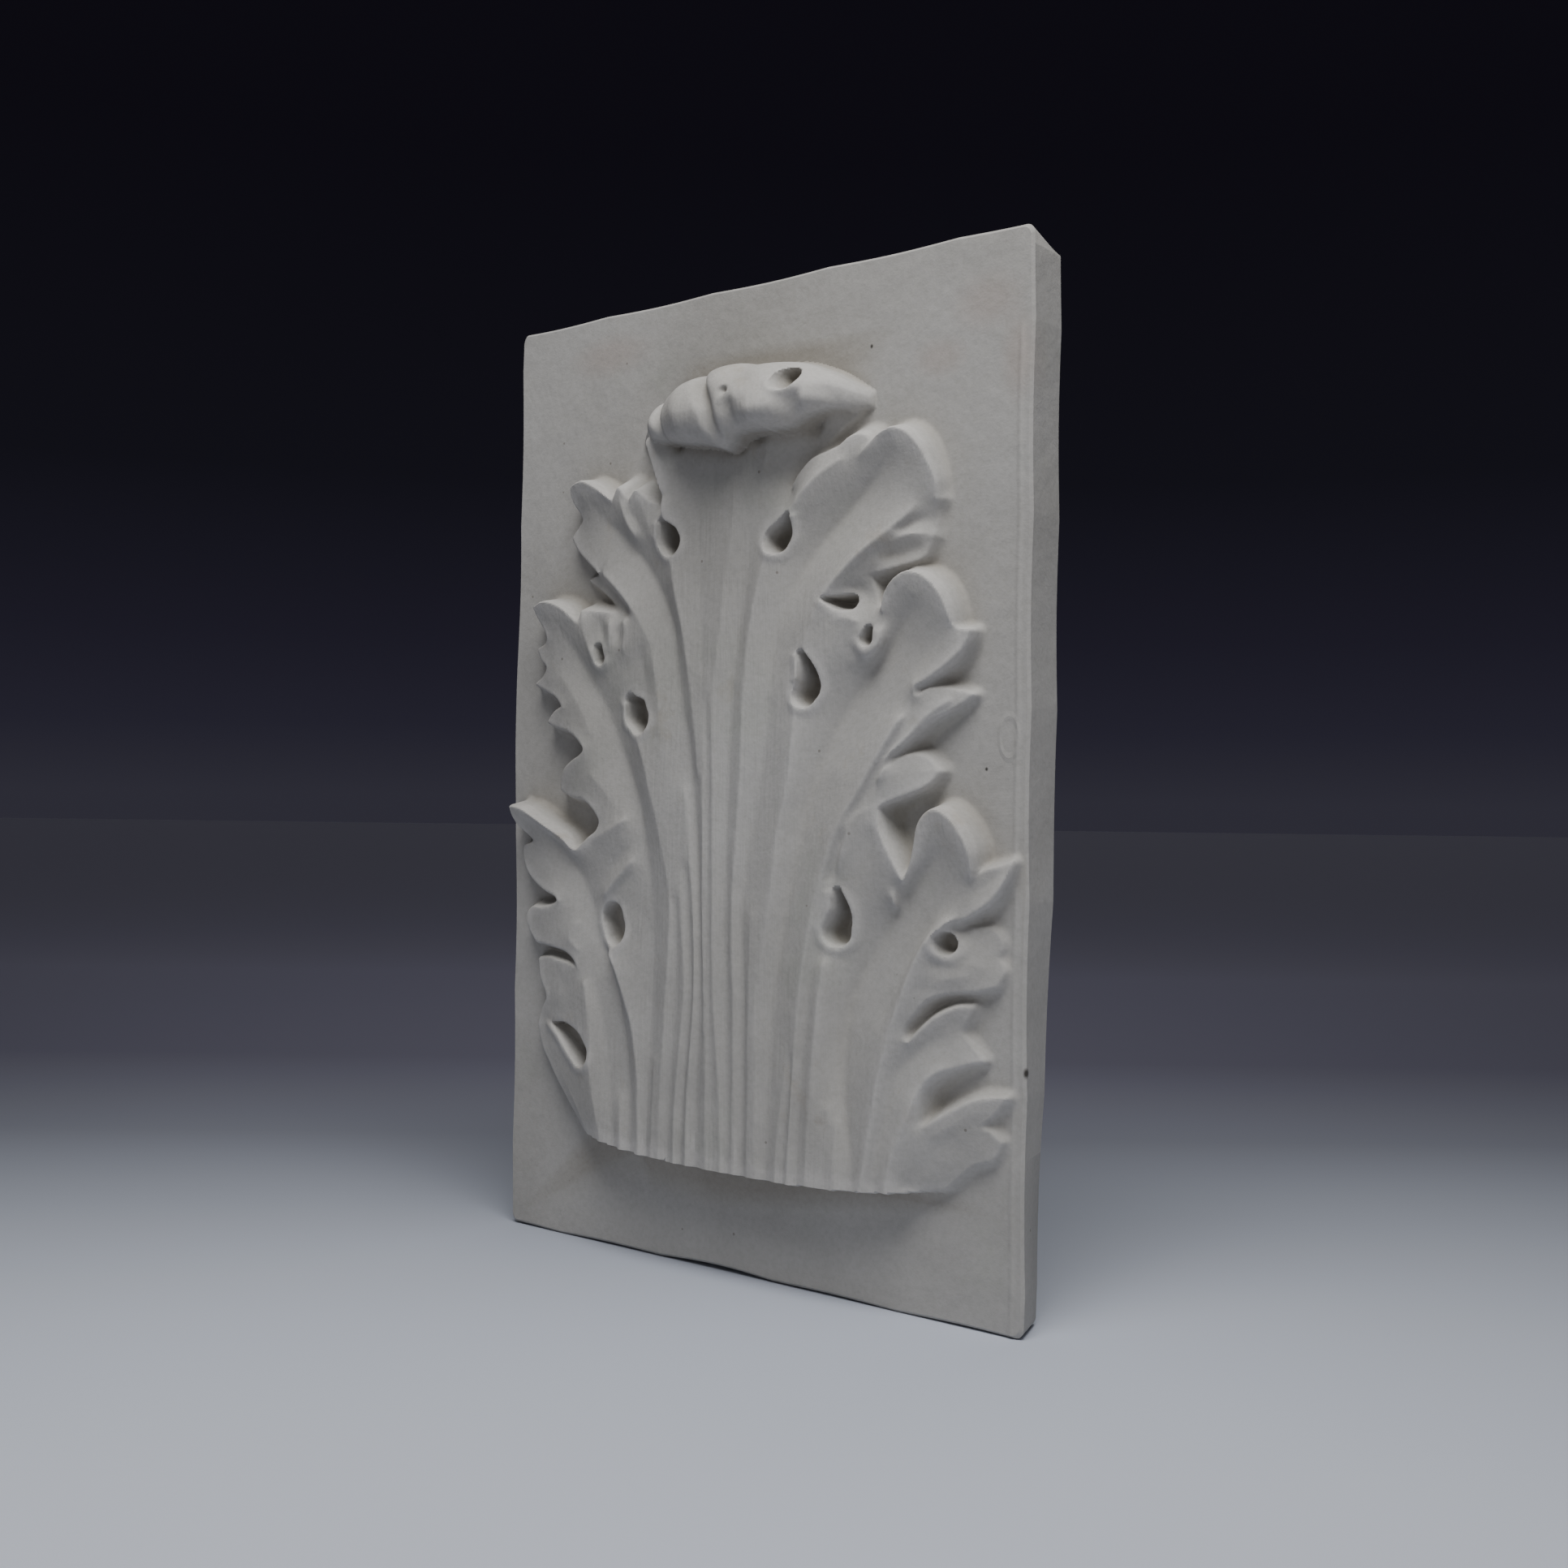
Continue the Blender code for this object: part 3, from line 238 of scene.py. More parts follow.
def halved(grid):
    """The grid with each block of two by two places added up."""
    grid = np.pad(grid, ((0, grid.shape[0] % 2), (0, grid.shape[1] % 2)))
    return grid[::2, ::2] + grid[1::2, ::2] + grid[::2, 1::2] + grid[1::2, 1::2]


def joined_arcs(start, arcs):
    """Arcs that each begin where the one before ends. Each: the wall's slope, and rows of x, z, height."""
    joined = []
    for wall, rows in arcs:
        joined.append((wall, [start, *rows]))
        start = rows[-1]
    return joined


class Near:
    """What each place finds on its nearest point of a curve."""

    def __init__(self, x, z, curve):
        start, end = curve[:-1], curve[1:]
        run = end[:, :2] - start[:, :2]
        length = np.maximum(np.hypot(run[:, 0], run[:, 1]), 1e-6)
        off_x = x[:, None] - start[:, 0]
        off_z = z[:, None] - start[:, 1]
        t = np.clip((off_x * run[:, 0] + off_z * run[:, 1]) / length ** 2, 0, 1)
        off_x = off_x - t * run[:, 0]
        off_z = off_z - t * run[:, 1]
        distance = np.hypot(off_x, off_z)
        place = np.arange(len(x))
        k = distance.argmin(axis=1)
        t = t[place, k]
        self.distance = distance[place, k]
        self.row = start[k] + (end[k] - start[k]) * t[:, None]
        self.total = length.sum()
        self.along = np.concatenate([[0], np.cumsum(length)])[k] + t * length[k]


class Relief:
    """Heights above the slab's front on a regular grid of the leaf's own units."""

    def __init__(self, x, z):
        self.x = x
        self.z = z
        self.step = x[1] - x[0]
        self.across, self.up = np.meshgrid(x, z)
        self.height = np.zeros_like(self.across)
        self.weight = np.zeros_like(self.across)
        self.pull = np.zeros_like(self.across)

    def line(self, rows):
        """A ridge or hollow line that the surface passes through. Each row: x, z, height.
        It takes full hold of the surface only some way from its ends."""
        curve = smooth_rows(rows)
        length = np.hypot(np.diff(curve[:, 0]), np.diff(curve[:, 1]))
        along = np.concatenate([[0], np.cumsum(length)])
        stops = np.arange(0, along[-1], self.step / 2)
        column = (np.interp(stops, along, curve[:, 0]) - self.x[0]) / self.step
        row = (np.interp(stops, along, curve[:, 1]) - self.z[0]) / self.step
        height = np.interp(stops, along, curve[:, 2])
        least_hold = 0.05
        hold = least_hold + ease(stops / LINE_FADE) * ease((along[-1] - stops) / LINE_FADE)
        low = np.floor(row)
        left = np.floor(column)
        for down in (0, 1):
            for right in (0, 1):
                r = np.clip(low.astype(int) + down, 0, len(self.z) - 1)
                c = np.clip(left.astype(int) + right, 0, len(self.x) - 1)
                share = (1 - abs(row - low - down)) * (1 - abs(column - left - right))
                share = share * hold
                np.add.at(self.weight, (r, c), share)
                np.add.at(self.pull, (r, c), share * height)

    def stretch(self, stiffness=6.0, sweeps=40, coarsest=12):
        """Stretches a smooth surface over all the lines, from a coarse grid to the fine one."""
        levels = [(self.weight, self.pull)]
        while min(levels[-1][0].shape) > coarsest:
            levels.append(tuple(halved(grid) for grid in levels[-1]))
        height = np.full(levels[-1][0].shape, levels[-1][1].sum() / levels[-1][0].sum())
        for weight, pull in reversed(levels):
            rows, columns = weight.shape
            if height.shape != weight.shape:
                height = np.repeat(np.repeat(height, 2, axis=0), 2, axis=1)[:rows, :columns]
            for _ in range(sweeps):
                height = (four_around(height) + stiffness * pull) / (4 + stiffness * weight)
        self.height = height

    def window(self, curve, reach):
        """The part of the grid within reach of a curve."""
        low = curve[:, :2].min(axis=0) - reach
        high = curve[:, :2].max(axis=0) + reach
        rows = slice(np.searchsorted(self.z, low[1]), np.searchsorted(self.z, high[1]) + 1)
        columns = slice(np.searchsorted(self.x, low[0]), np.searchsorted(self.x, high[0]) + 1)
        return rows, columns

    def near(self, curve, reach):
        """That part of the grid, and what its places find on the curve."""
        rows, columns = self.window(curve, reach)
        x = self.across[rows, columns].ravel()
        z = self.up[rows, columns].ravel()
        return (rows, columns), Near(x, z, curve)

    def inside(self, loop):
        """True within a closed loop of points, found from where each grid row crosses it."""
        within = np.zeros(self.height.shape, bool)
        for start, end in zip(loop, np.roll(loop, -1, axis=0)):
            low, high = sorted((start[1], end[1]))
            rows = (self.z >= low) & (self.z < high)
            if rows.any():
                share = (self.z[rows] - start[1]) / (end[1] - start[1])
                crossing = start[0] + share * (end[0] - start[0])
                within[rows] ^= self.x[None, :] > crossing[:, None]
        return within

    def cut_out(self, arcs, rim=1.3, reach=16.0):
        """Keeps the surface within the arcs of the leaf's edge, with sloping walls down to the slab."""
        curves = [(wall, smooth_rows(rows)) for wall, rows in arcs]
        within = self.inside(np.concatenate([curve[:, :2] for _, curve in curves]))
        deeper_than_any_wall = 60.0
        drop = np.full(self.height.shape, deeper_than_any_wall)
        top = np.zeros_like(drop)
        for wall, curve in curves:
            place, near = self.near(curve, reach)
            turn = np.clip(near.distance, 0, rim)
            fall = rim - np.sqrt(rim ** 2 - turn ** 2) + np.maximum(near.distance - rim, 0) * wall
            fall = fall.reshape(drop[place].shape)
            start = near.row[:, 2].reshape(fall.shape)
            nearer = fall - start < drop[place] - top[place]
            drop[place] = np.where(nearer, fall, drop[place])
            top[place] = np.where(nearer, start, top[place])
        self.height = np.where(within, self.height, np.maximum(top - drop, 0))

    def crease(self, rows, end_share=0.15):
        """A thin groove, or a ridge where the height is positive. Each row: x, z, half width, height."""
        widths_reached = 3
        least_height = 0.3
        curve = smooth_rows(rows)
        place, near = self.near(curve, curve[:, 2].max() * widths_reached + 1)
        ends = end_share * near.total
        fade = ease(near.along / ends) * ease((near.total - near.along) / ends)
        lift = near.row[:, 3] * np.exp(-(near.distance / near.row[:, 2]) ** 2) * fade
        old = self.height[place]
        self.height[place] = old + lift.reshape(old.shape) * (old > least_height)

    def hole(self, rows, floor=1.5, lip=1.0):
        """A drilled hole along a short curve, with a low raised lip. Each row: x, z, radius."""
        reach = 8
        lip_offset = 1.5
        lip_width = 2.5
        least_height = 2
        bowl_inset = 3
        bowl_slope = 1.3
        curve = smooth_rows(rows)
        place, near = self.near(curve, curve[:, 2].max() + reach)
        old = self.height[place]
        surface = old.ravel()
        beyond = near.distance - near.row[:, 2]
        under = ease(0.5 + (near.row[:, 1] - self.up[place].ravel()) / (2 * near.row[:, 2]))
        rim = np.exp(-((beyond - lip_offset) / lip_width) ** 2)
        raised = surface + lip * under * rim * (surface > least_height)
        bowl = floor + bowl_slope * np.maximum(beyond + bowl_inset, 0) ** 2
        self.height[place] = np.minimum(raised, bowl).reshape(old.shape)

    def softened(self, radius):
        """The heights blurred by about this radius."""
        return blurred(self.height, max(1, round(2 * (radius / self.step) ** 2)))

    def round_hollows(self, radius):
        """Rounds the hollows and the feet of the walls, and leaves the ridges crisp."""
        self.height = np.maximum(self.height, self.softened(radius))


# The leaf's edge as arcs, on the right from the foot up to the curl
RIGHT_EDGE = joined_arcs((104, -176, 4), [
    (1.2, [(113, -171, 4), (128, -158, 4), (138, -154, 3.5), (142, -147, 3.5)]),
    (1.5, [(137, -143.5, 4.5), (131, -142, 5.5)]),
    (1.5, [(138, -136, 5), (144, -129, 4.5)]),
    (2.0, [(131, -131.5, 7), (118, -138.5, 8.5), (108, -144.5, 9.5), (105, -143, 10)]),
    (2.0, [(105.5, -134, 11), (109, -126.5, 10), (117, -120.5, 8), (126, -116.5, 6), (133, -115, 4)]),
    (1.5, [(127, -109, 4.5), (123, -104, 5), (126, -98, 5.5), (128, -93.5, 5.5)]),
    (2.5, [(122, -94.5, 8), (114, -98.5, 10), (107, -104.5, 11), (101.5, -110.5, 12)]),
    (2.5, [(98.5, -108, 12.5), (99.5, -102.5, 12.5), (103, -98, 12), (109.5, -91, 11), (118, -87.5, 9),
           (130, -86, 6.5), (139, -84, 4)]),
    (1.2, [(142, -78, 3), (139, -73, 3), (141, -67, 2.5), (137, -62, 3), (129, -61.5, 4.5)]),
    (4.0, [(122, -61.5, 6), (123, -58.5, 9.5), (130, -54.5, 9), (138.5, -48.5, 8), (143.5, -41, 7),
           (147, -34, 5)]),
    (2.2, [(141.5, -36, 6.5), (136, -37.5, 7.5), (131.5, -40.5, 8.5), (129, -43.5, 9)]),
    (5.0, [(130.5, -38, 11.5), (130.5, -30, 13.5), (127.5, -23, 14.5), (122.5, -17, 15), (116.5, -13.5, 15.5),
           (111, -15, 15), (107, -20, 14.5), (104.8, -28, 13.5), (102.5, -36, 13), (98.5, -44, 12.5)]),
    (5.0, [(92.5, -34, 13), (87.5, -25, 13.5), (85.5, -18, 13.5), (85, -12.5, 13.5)]),
    (5.0, [(89, -9.5, 12.5), (98.5, -6, 10.5), (106.5, -2.5, 8.5), (111.5, 3, 6)]),
    (2.5, [(105, 8.5, 7), (98.5, 9, 9), (91.5, 6, 11.5), (86, 2, 13.5)]),
    (5.0, [(90, 9.5, 13.5), (96.5, 15, 12), (103.5, 21, 10.5), (110, 25.5, 9), (119, 30, 6.5),
           (126.5, 34.5, 4.5)]),
    (2.5, [(115.5, 36.5, 7), (108, 36.5, 9), (103.5, 34, 10.5), (101, 35, 11)]),
    (5.0, [(102.5, 39, 11.5), (107.5, 41.5, 11), (114, 45.5, 10.5), (120.5, 50.5, 9.5), (124.5, 55.5, 8.5),
           (126.5, 60.5, 8)]),
    (5.0, [(122, 61, 9), (119.5, 63, 10.5), (118.5, 67, 12), (117, 72, 13), (114, 77.5, 14),
           (109, 82.5, 14.7), (103, 85, 15), (97.5, 84.7, 15), (92, 81.5, 14.5), (88, 76.5, 13.5),
           (86.5, 70, 13)]),
    (2.5, [(82, 73, 9.5), (80, 78, 8), (78, 84, 8.5), (77, 87.5, 10)]),
    (2.5, [(86.5, 89, 9), (95.5, 90.5, 7.5), (101.5, 92.5, 6), (104.5, 97, 5), (106, 101.5, 5.5)]),
    (1.5, [(107, 107, 3.5), (107, 112, 4.5), (108.5, 117, 6.5)]),
    (3.5, [(108.3, 124.5, 8), (105.7, 132, 10), (102.2, 139, 12), (97.5, 144.2, 13.6), (92, 146.2, 15),
           (86, 145, 14.5), (81, 142.5, 13.5), (76, 139, 13), (72.5, 136.5, 12.5)]),
    (2.0, [(77, 142.5, 11.5), (74.5, 146, 11.5), (68, 145.5, 12), (62, 142, 12), (55, 140, 12),
           (47.5, 138, 12), (40.5, 132, 12), (36.5, 126, 12.5), (34.5, 120, 13)]),
    (2.0, [(36.5, 126, 9), (38, 131, 6.5), (43, 138.5, 5), (52, 148, 4.5), (60, 154, 4), (67, 159, 3)]),
])


# The same on the left, from the curl down to the foot
LEFT_EDGE = joined_arcs((-60, 160, 2), [
    (2.0, [(-53, 151, 3), (-42, 141, 4), (-37, 132, 6), (-36, 124, 11)]),
    (1.8, [(-42, 127, 13), (-47, 129, 14), (-51.5, 132.5, 14), (-55, 134.5, 14.5), (-58.5, 131.5, 14),
           (-61, 128.5, 13)]),
    (1.8, [(-63, 133, 14), (-66, 137, 14.5), (-68.5, 134.5, 14), (-71, 131, 13)]),
    (6.0, [(-75.5, 134.5, 14.5), (-83, 139.5, 15), (-91, 142.5, 15.2), (-98.5, 141, 14)]),
    (5.0, [(-99.5, 138, 12.5), (-98.5, 133.5, 11), (-95.5, 129, 9.5), (-94, 125, 9)]),
    (3.5, [(-99, 121.5, 7.5), (-103.5, 117.5, 7)]),
    (5.0, [(-98, 111, 8), (-90.5, 105, 9), (-82, 99, 10.5)]),
    (3.0, [(-84, 98, 7), (-94, 96.5, 4)]),
    (2.5, [(-84, 91, 5.5), (-75, 85, 7), (-68, 78.5, 9)]),
    (2.5, [(-72, 78, 12), (-79.5, 79, 12.5), (-91, 80, 13)]),
    (6.0, [(-92.5, 74.5, 14), (-97, 77.5, 14.8), (-103, 82, 15.5), (-110, 84.8, 16), (-117, 85.6, 15.5),
           (-123.5, 83.8, 14)]),
    (5.0, [(-121.5, 79, 12.5), (-117.5, 73.5, 12), (-116, 69, 11.5), (-119, 65.5, 10), (-125.5, 63.5, 8.5)]),
    (3.0, [(-122, 58.5, 9), (-118, 55, 9.5), (-121, 50, 8.5), (-128, 46.5, 7)]),
    (3.5, [(-119, 43.5, 8.5), (-111, 40, 10), (-104, 34, 11.5)]),
    (3.5, [(-112, 32, 9.5), (-118, 27.5, 8)]),
    (3.5, [(-111, 25.5, 9.5), (-102, 23.5, 11), (-94.5, 20, 12.5), (-88.5, 15, 13.5), (-88, 12, 13.5)]),
    (3.5, [(-92, 9.5, 13), (-97, 7.5, 12), (-103.5, 4, 10.5), (-107, -0.5, 9), (-108.5, -6, 7.5)]),
    (3.0, [(-100, -8.5, 9.5), (-91, -9.5, 11.5), (-83.5, -13, 13), (-78, -18, 13.5), (-76.5, -22, 13.5),
           (-79, -26.5, 13.5), (-85, -30, 13), (-92, -35.5, 13)]),
    (7.0, [(-95.5, -35, 13.5), (-102, -29.5, 14.8), (-112, -24.5, 15.5), (-122, -19.5, 15.8),
           (-130, -16, 15.8), (-138, -15, 15)]),
    (5.0, [(-137.5, -19, 13.5), (-134.5, -23.5, 12), (-127, -29, 10.5), (-124.5, -32, 9.5)]),
    (5.0, [(-130, -33.5, 8.5), (-136, -35, 6.5), (-136, -40, 6.5), (-132.5, -46, 7.5), (-126, -51, 8.5),
           (-117.5, -55, 10), (-109, -57.5, 11.5), (-105, -60.5, 12)]),
    (2.5, [(-111, -63.5, 11), (-120, -65, 9.5), (-129, -65.5, 7.5), (-133, -69.5, 7), (-131, -75.5, 7),
           (-125, -81, 8)]),
    (3.5, [(-113, -82, 10), (-101, -84, 11.5), (-93.5, -88, 12.5), (-90, -93.5, 12.5)]),
    (3.0, [(-97, -91.5, 11.5), (-105, -90.5, 10.5), (-115, -89.5, 8.5), (-124, -90.5, 6.5)]),
    (2.5, [(-121.5, -99, 7.5), (-116, -108, 8.5), (-121, -115, 6.5), (-125, -123, 5.5)]),
    (2.0, [(-120.5, -134, 6), (-116, -140, 6), (-110, -147, 7), (-97, -161, 8), (-89, -169, 9),
           (-84, -176, 9)]),
])


# Stem: it fans out below the curl, and flutes run up it from the foot
STEM = (
    [(8, 165, 17), (8, 145, 16.5), (7.5, 120, 17), (6, 100, 17.6), (3.5, 85, 18), (2.5, 70, 18.5),
     (0.5, 55, 18.7), (-2.5, 35, 18.7), (-1, 0, 19), (0, -60, 19), (1, -100, 19), (5, -140, 19),
     (7, -190, 19)],
    [(-6, 35, 17.8), (-4.2, 0, 18), (-3, -60, 18), (-1.5, -100, 18.1), (1, -140, 18.2), (3, -190, 18.2)],
    [(-9, 35, 18.2), (-7, 0, 18.8), (-6, -60, 18.9), (-4.5, -100, 18.9), (-3, -140, 18.9), (-2, -190, 18.9)],
    [(31, 168, 15.6), (26, 150, 15.4), (21, 120, 15.3), (17, 105, 15.4), (14.3, 80, 15.6), (12.3, 68, 15.8),
     (10.3, 55, 16), (8.3, 40, 16.2), (7, 0, 16.5), (6, -60, 16.7), (8, -100, 16.8), (9, -140, 17.4),
     (9.5, -190, 17.8)],
    [(-34, 168, 15.8), (-25, 150, 15.6), (-14, 120, 15.5), (-12, 100, 16), (-11, 80, 16.5), (-9.5, 60, 17.2),
     (-9, 47, 17.8)],
    [(-32, 117, 17), (-35, 122, 18), (-36, 130, 19), (-38, 140, 20), (-40, 150, 22), (-42, 158, 24)],
    [(28, 100, 17.3), (24.5, 90, 17.8), (21.5, 80, 18), (19.5, 70, 18.2), (17.5, 55, 18.3), (15.5, 30, 18.4),
     (14.5, 0, 18.5), (11, -60, 18.5), (12.5, -100, 18.5), (13, -140, 18.5), (13, -190, 18.5)],
    [(28.5, 35, 14.6), (26.5, 15, 15), (24.5, 0, 15.3), (19, -30, 15.8), (15.5, -60, 16.2),
     (17.5, -100, 16.4), (17.5, -140, 16.6), (17, -190, 16.6)],
    [(22, -60, 18.2), (21, -100, 18.4), (21.5, -140, 18.4), (22, -190, 18.4)],
    [(-30, 100, 17), (-26.3, 85, 17.8), (-22.3, 72, 18.2), (-19.3, 60, 18.3), (-15.3, 40, 18.4),
     (-11.5, 15, 18.5), (-9.8, 0, 18.5)],
    [(-21.5, 30, 14.8), (-16.7, 10, 15.6), (-13.7, -10, 16), (-10.5, -35, 16.3), (-9, -60, 16.6),
     (-7.8, -100, 16.8), (-9.5, -140, 16.9), (-10, -190, 16.9)],
    [(-19, -5, 17.8), (-15.5, -30, 18.2), (-12, -60, 18.6), (-10.8, -100, 18.7), (-14, -145, 18.7),
     (-15, -190, 18.7)],
    [(-17, -40, 17.3), (-14.5, -70, 17), (-13.7, -100, 16.9), (-18, -150, 16.8), (-19, -190, 16.8)],
    [(-23, -30, 18), (-19, -65, 18.5), (-17, -100, 18.6), (-21.5, -150, 18.6), (-22, -190, 18.6)],
    [(-24, -55, 17.4), (-22.5, -80, 17.2), (-22.7, -100, 17.1), (-26, -150, 17), (-27, -190, 17)],
)


# Lobes: their hollows, ridges and walls as lines
UPPER_RIGHT_LOBE = (
    [(28.5, 35, 15), (30, 55, 14), (33.5, 70, 12.8), (39, 85, 10.6), (49, 99, 8.3), (62, 112, 6.8),
     (75, 123, 7.2), (85, 132, 9.7), (91, 138, 12.2), (93, 142, 14.2)],
    [(36, 112, 15.5), (41, 119, 15.8), (49, 127, 16), (58, 133, 15), (66, 137, 13.5)],
    [(44, 31, 16.5), (46, 45, 16.5), (49.5, 62, 16.5), (58.5, 79, 16.3), (73, 93, 15.5), (86, 102, 13.5),
     (95, 108.5, 11), (101, 117, 7.5)],
    [(62, 78, 12.5), (75, 90, 12), (86, 98, 10.5)],
    [(88, 99.5, 11), (97, 102, 9.5), (104.5, 102, 6.5)],
    [(91, 104.5, 8.5), (98, 107.5, 6), (105, 108.5, 4)],
    [(84, 93, 8), (94, 95, 6.5), (102, 97, 5)],
    [(66, 82, 10), (74, 80, 8), (77, 75, 8.5), (76, 69, 12)],
)
MIDDLE_RIGHT_LOBE = (
    [(31, -190, 16.4), (31, -165, 16.3), (33.5, -100, 15.4), (38, -62, 14), (44, -32, 12.8), (50, -5, 10.6),
     (59, 18, 8), (71, 36, 6.5), (84, 52, 6.2), (93, 63, 8), (101, 71, 11), (102, 78, 14)],
    [(62, 0, 12.8), (76, 18, 10.7), (90, 34, 9.2), (104, 50, 8.8), (112, 58, 9.4)],
    [(44, 31, 16.5), (43, 20, 17.3), (41, 0, 17.6), (38.5, -12, 17.8), (35.5, -25, 18), (32.5, -50, 18.2),
     (28.5, -75, 18.4), (24.5, -100, 18.5), (25, -140, 18.5), (26, -190, 18.5)],
    [(37, -190, 18.2), (37.5, -165, 18.2), (41, -130, 17.6), (44, -110, 17)],
    [(40.5, -190, 17.1), (41, -165, 17), (45, -120, 16.8)],
    [(43.5, -190, 18.4), (44, -165, 18.4), (48, -100, 18), (54.5, -58, 17.6), (60, -40, 17.4),
     (64, -28, 17.2), (69, -18, 17), (76, -8, 16.5), (83, 4, 15.5), (90, 15, 14.5), (97, 26, 13)],
    [(52, 57, 15.5), (55, 63, 15.5), (60, 66.5, 15), (68, 68, 14.5), (75, 66, 14)],
    [(56, 42, 13.5), (59, 52, 14.5), (62, 60, 14.5)],
    [(70, 48, 11.5), (72, 56, 12)],
    [(75, 52, 12.5), (80, 52, 13), (85, 56, 13), (86.5, 64, 13)],
    [(72, -19, 15.5), (78, -9.5, 14), (84, 0, 12.8), (90, 10, 11.8), (96, 20, 10.8), (103, 30.5, 9.5)],
    [(86, -2, 14.8), (92.5, 9, 13.8), (101, 18.5, 12), (110, 27, 10), (118, 32.5, 8)],
    [(92, -1, 12), (101, 1.5, 9.5), (108, 3, 7.5)],
)
LOWER_RIGHT_LOBE = (
    [(63, -190, 16.4), (62.5, -165, 16.4), (63, -140, 15.6)],
    [(68, -190, 17), (67.5, -165, 16.6), (67, -145, 14.8)],
    [(74.5, -190, 14.2), (74.5, -165, 13.6), (69.5, -138, 11), (67.5, -115, 8.8), (71.5, -92, 7),
     (80, -75, 6), (90, -60, 5.8), (99, -48, 6.4), (106, -39, 7.8), (114, -32, 10.3), (117, -24, 12.8),
     (117, -18, 14.5)],
    [(88, -100, 11), (98, -80, 9.8), (108, -64, 8.8), (116, -52, 8.6), (121, -42, 9.6)],
    [(56, -66, 15.3), (53, -85, 15.4), (51.5, -100, 15.6), (48.5, -140, 16.2), (47.7, -190, 16.3)],
    [(60.5, -78, 16.6), (59, -90, 17), (58, -100, 17.3), (55.5, -130, 17.6), (53.5, -165, 17.8),
     (53.5, -190, 17.8)],
    [(80.5, -190, 16), (80.5, -175, 16), (83, -160, 15.8), (87, -135, 15.5), (90, -120, 15.3), (94, -106, 15),
     (100, -90, 14.8), (105, -78, 14.6), (110, -69, 14.3), (117, -61.5, 13.5), (124, -57, 11.5)],
    [(62.5, -44, 13), (66, -34, 14), (70.5, -23, 14.5)],
    [(65.5, -43, 14), (68, -34, 15.8), (71.5, -24, 16), (76, -16.5, 15.5), (83, -12.5, 14)],
    [(74, -56, 11.8), (77, -43, 12), (80, -31, 12.2), (82, -22, 12.8)],
    [(92, -48, 12), (94, -56, 10)],
    [(131, -47, 7.5), (137, -42.5, 6.5), (142, -38, 6)],
    [(112, -77, 10.5), (124, -76, 8.5), (134, -77, 6)],
    [(106, -88, 11.5), (116, -83, 10.5), (128, -80.5, 8)],
    [(86, -190, 12), (86.5, -165, 12.5), (92, -140, 11.5), (97, -122, 10), (107, -112, 8.5), (117, -106, 7)],
    [(91, -190, 14), (93, -165, 14), (98, -150, 13.5), (103, -139, 13), (106, -131, 12), (112, -123, 10.5),
     (121, -118, 8)],
    [(99, -172, 8), (110, -158, 7), (122, -147, 6)],
    [(108, -150, 9), (120, -142, 8), (133, -134, 6.5)],
)
UPPER_LEFT_LOBE = (
    [(-21.5, 30, 15.2), (-27, 55, 13.8), (-30.5, 69, 12.5), (-38.5, 84, 11), (-49.5, 98, 9.2),
     (-63, 111, 8.6), (-77, 122, 9.5), (-86, 130, 11.3), (-91, 136, 13.2)],
    [(-43.5, 62, 15.5), (-48.5, 70, 15.3), (-56, 79, 15), (-63.5, 86, 14), (-72.5, 93, 12.5), (-80, 98, 11)],
    [(-42, 58, 15.8), (-38.5, 44, 16.3), (-36, 30, 16.8), (-34, 12, 17.2), (-33, -4, 17.5)],
    [(-42, 110, 15), (-45.5, 117, 14.5), (-50, 126, 14), (-54, 132, 14.2)],
    [(-50, 111, 12.5), (-55, 119, 12), (-60, 126, 12.5)],
    [(-56, 113, 13), (-61, 121, 14), (-65.5, 132, 14.5)],
    [(-68, 122, 11.5), (-75, 130, 12), (-82, 136, 14)],
    [(-60, 76, 10), (-68, 84, 8.5), (-77, 91, 7), (-86, 95.5, 5.5)],
)
MIDDLE_LEFT_LOBE = (
    [(-36.5, -190, 18.2), (-36, -165, 18.1), (-34.5, -130, 17.6)],
    [(-40.5, -190, 16.4), (-40.5, -165, 16.3), (-38, -105, 15.8), (-40, -62, 14.4), (-45, -36, 13),
     (-52, -12, 11.5), (-62, 9, 10.3), (-74, 30, 9.5), (-86, 46, 8.8), (-97, 60, 10), (-106, 71, 12.2),
     (-114, 81, 14.6)],
    [(-50, 17, 16.5), (-45, 8, 17.4), (-41, -5, 17.7), (-37, -15, 17.9), (-33, -28, 18.1), (-29, -42, 18.3),
     (-26, -60, 18.5), (-28, -100, 18.5), (-30.5, -145, 18.5), (-31.5, -190, 18.5)],
    [(-84, 20, 12.8), (-90, 30, 12.2), (-98, 40, 11.5), (-108, 50, 10.5)],
    [(-62, -20, 14.3), (-72, -8, 14), (-84, 2, 13.5)],
    [(-90, 79, 14), (-89, 71, 14), (-85, 62, 13.6), (-81.5, 55, 12.8)],
    [(-79, 75, 11.5), (-77, 66, 11)],
    [(-72, 75, 14), (-71, 66, 14.3), (-73, 57, 13)],
    [(-67, 73, 12), (-66, 64, 12.3)],
    [(-62, 75, 14.8), (-60, 67, 15), (-62, 59, 15)],
    [(-60, 53, 13), (-61, 44, 13)],
    [(-51, 58, 13.5), (-47.5, 46, 13.7), (-44.5, 34, 14.5)],
)
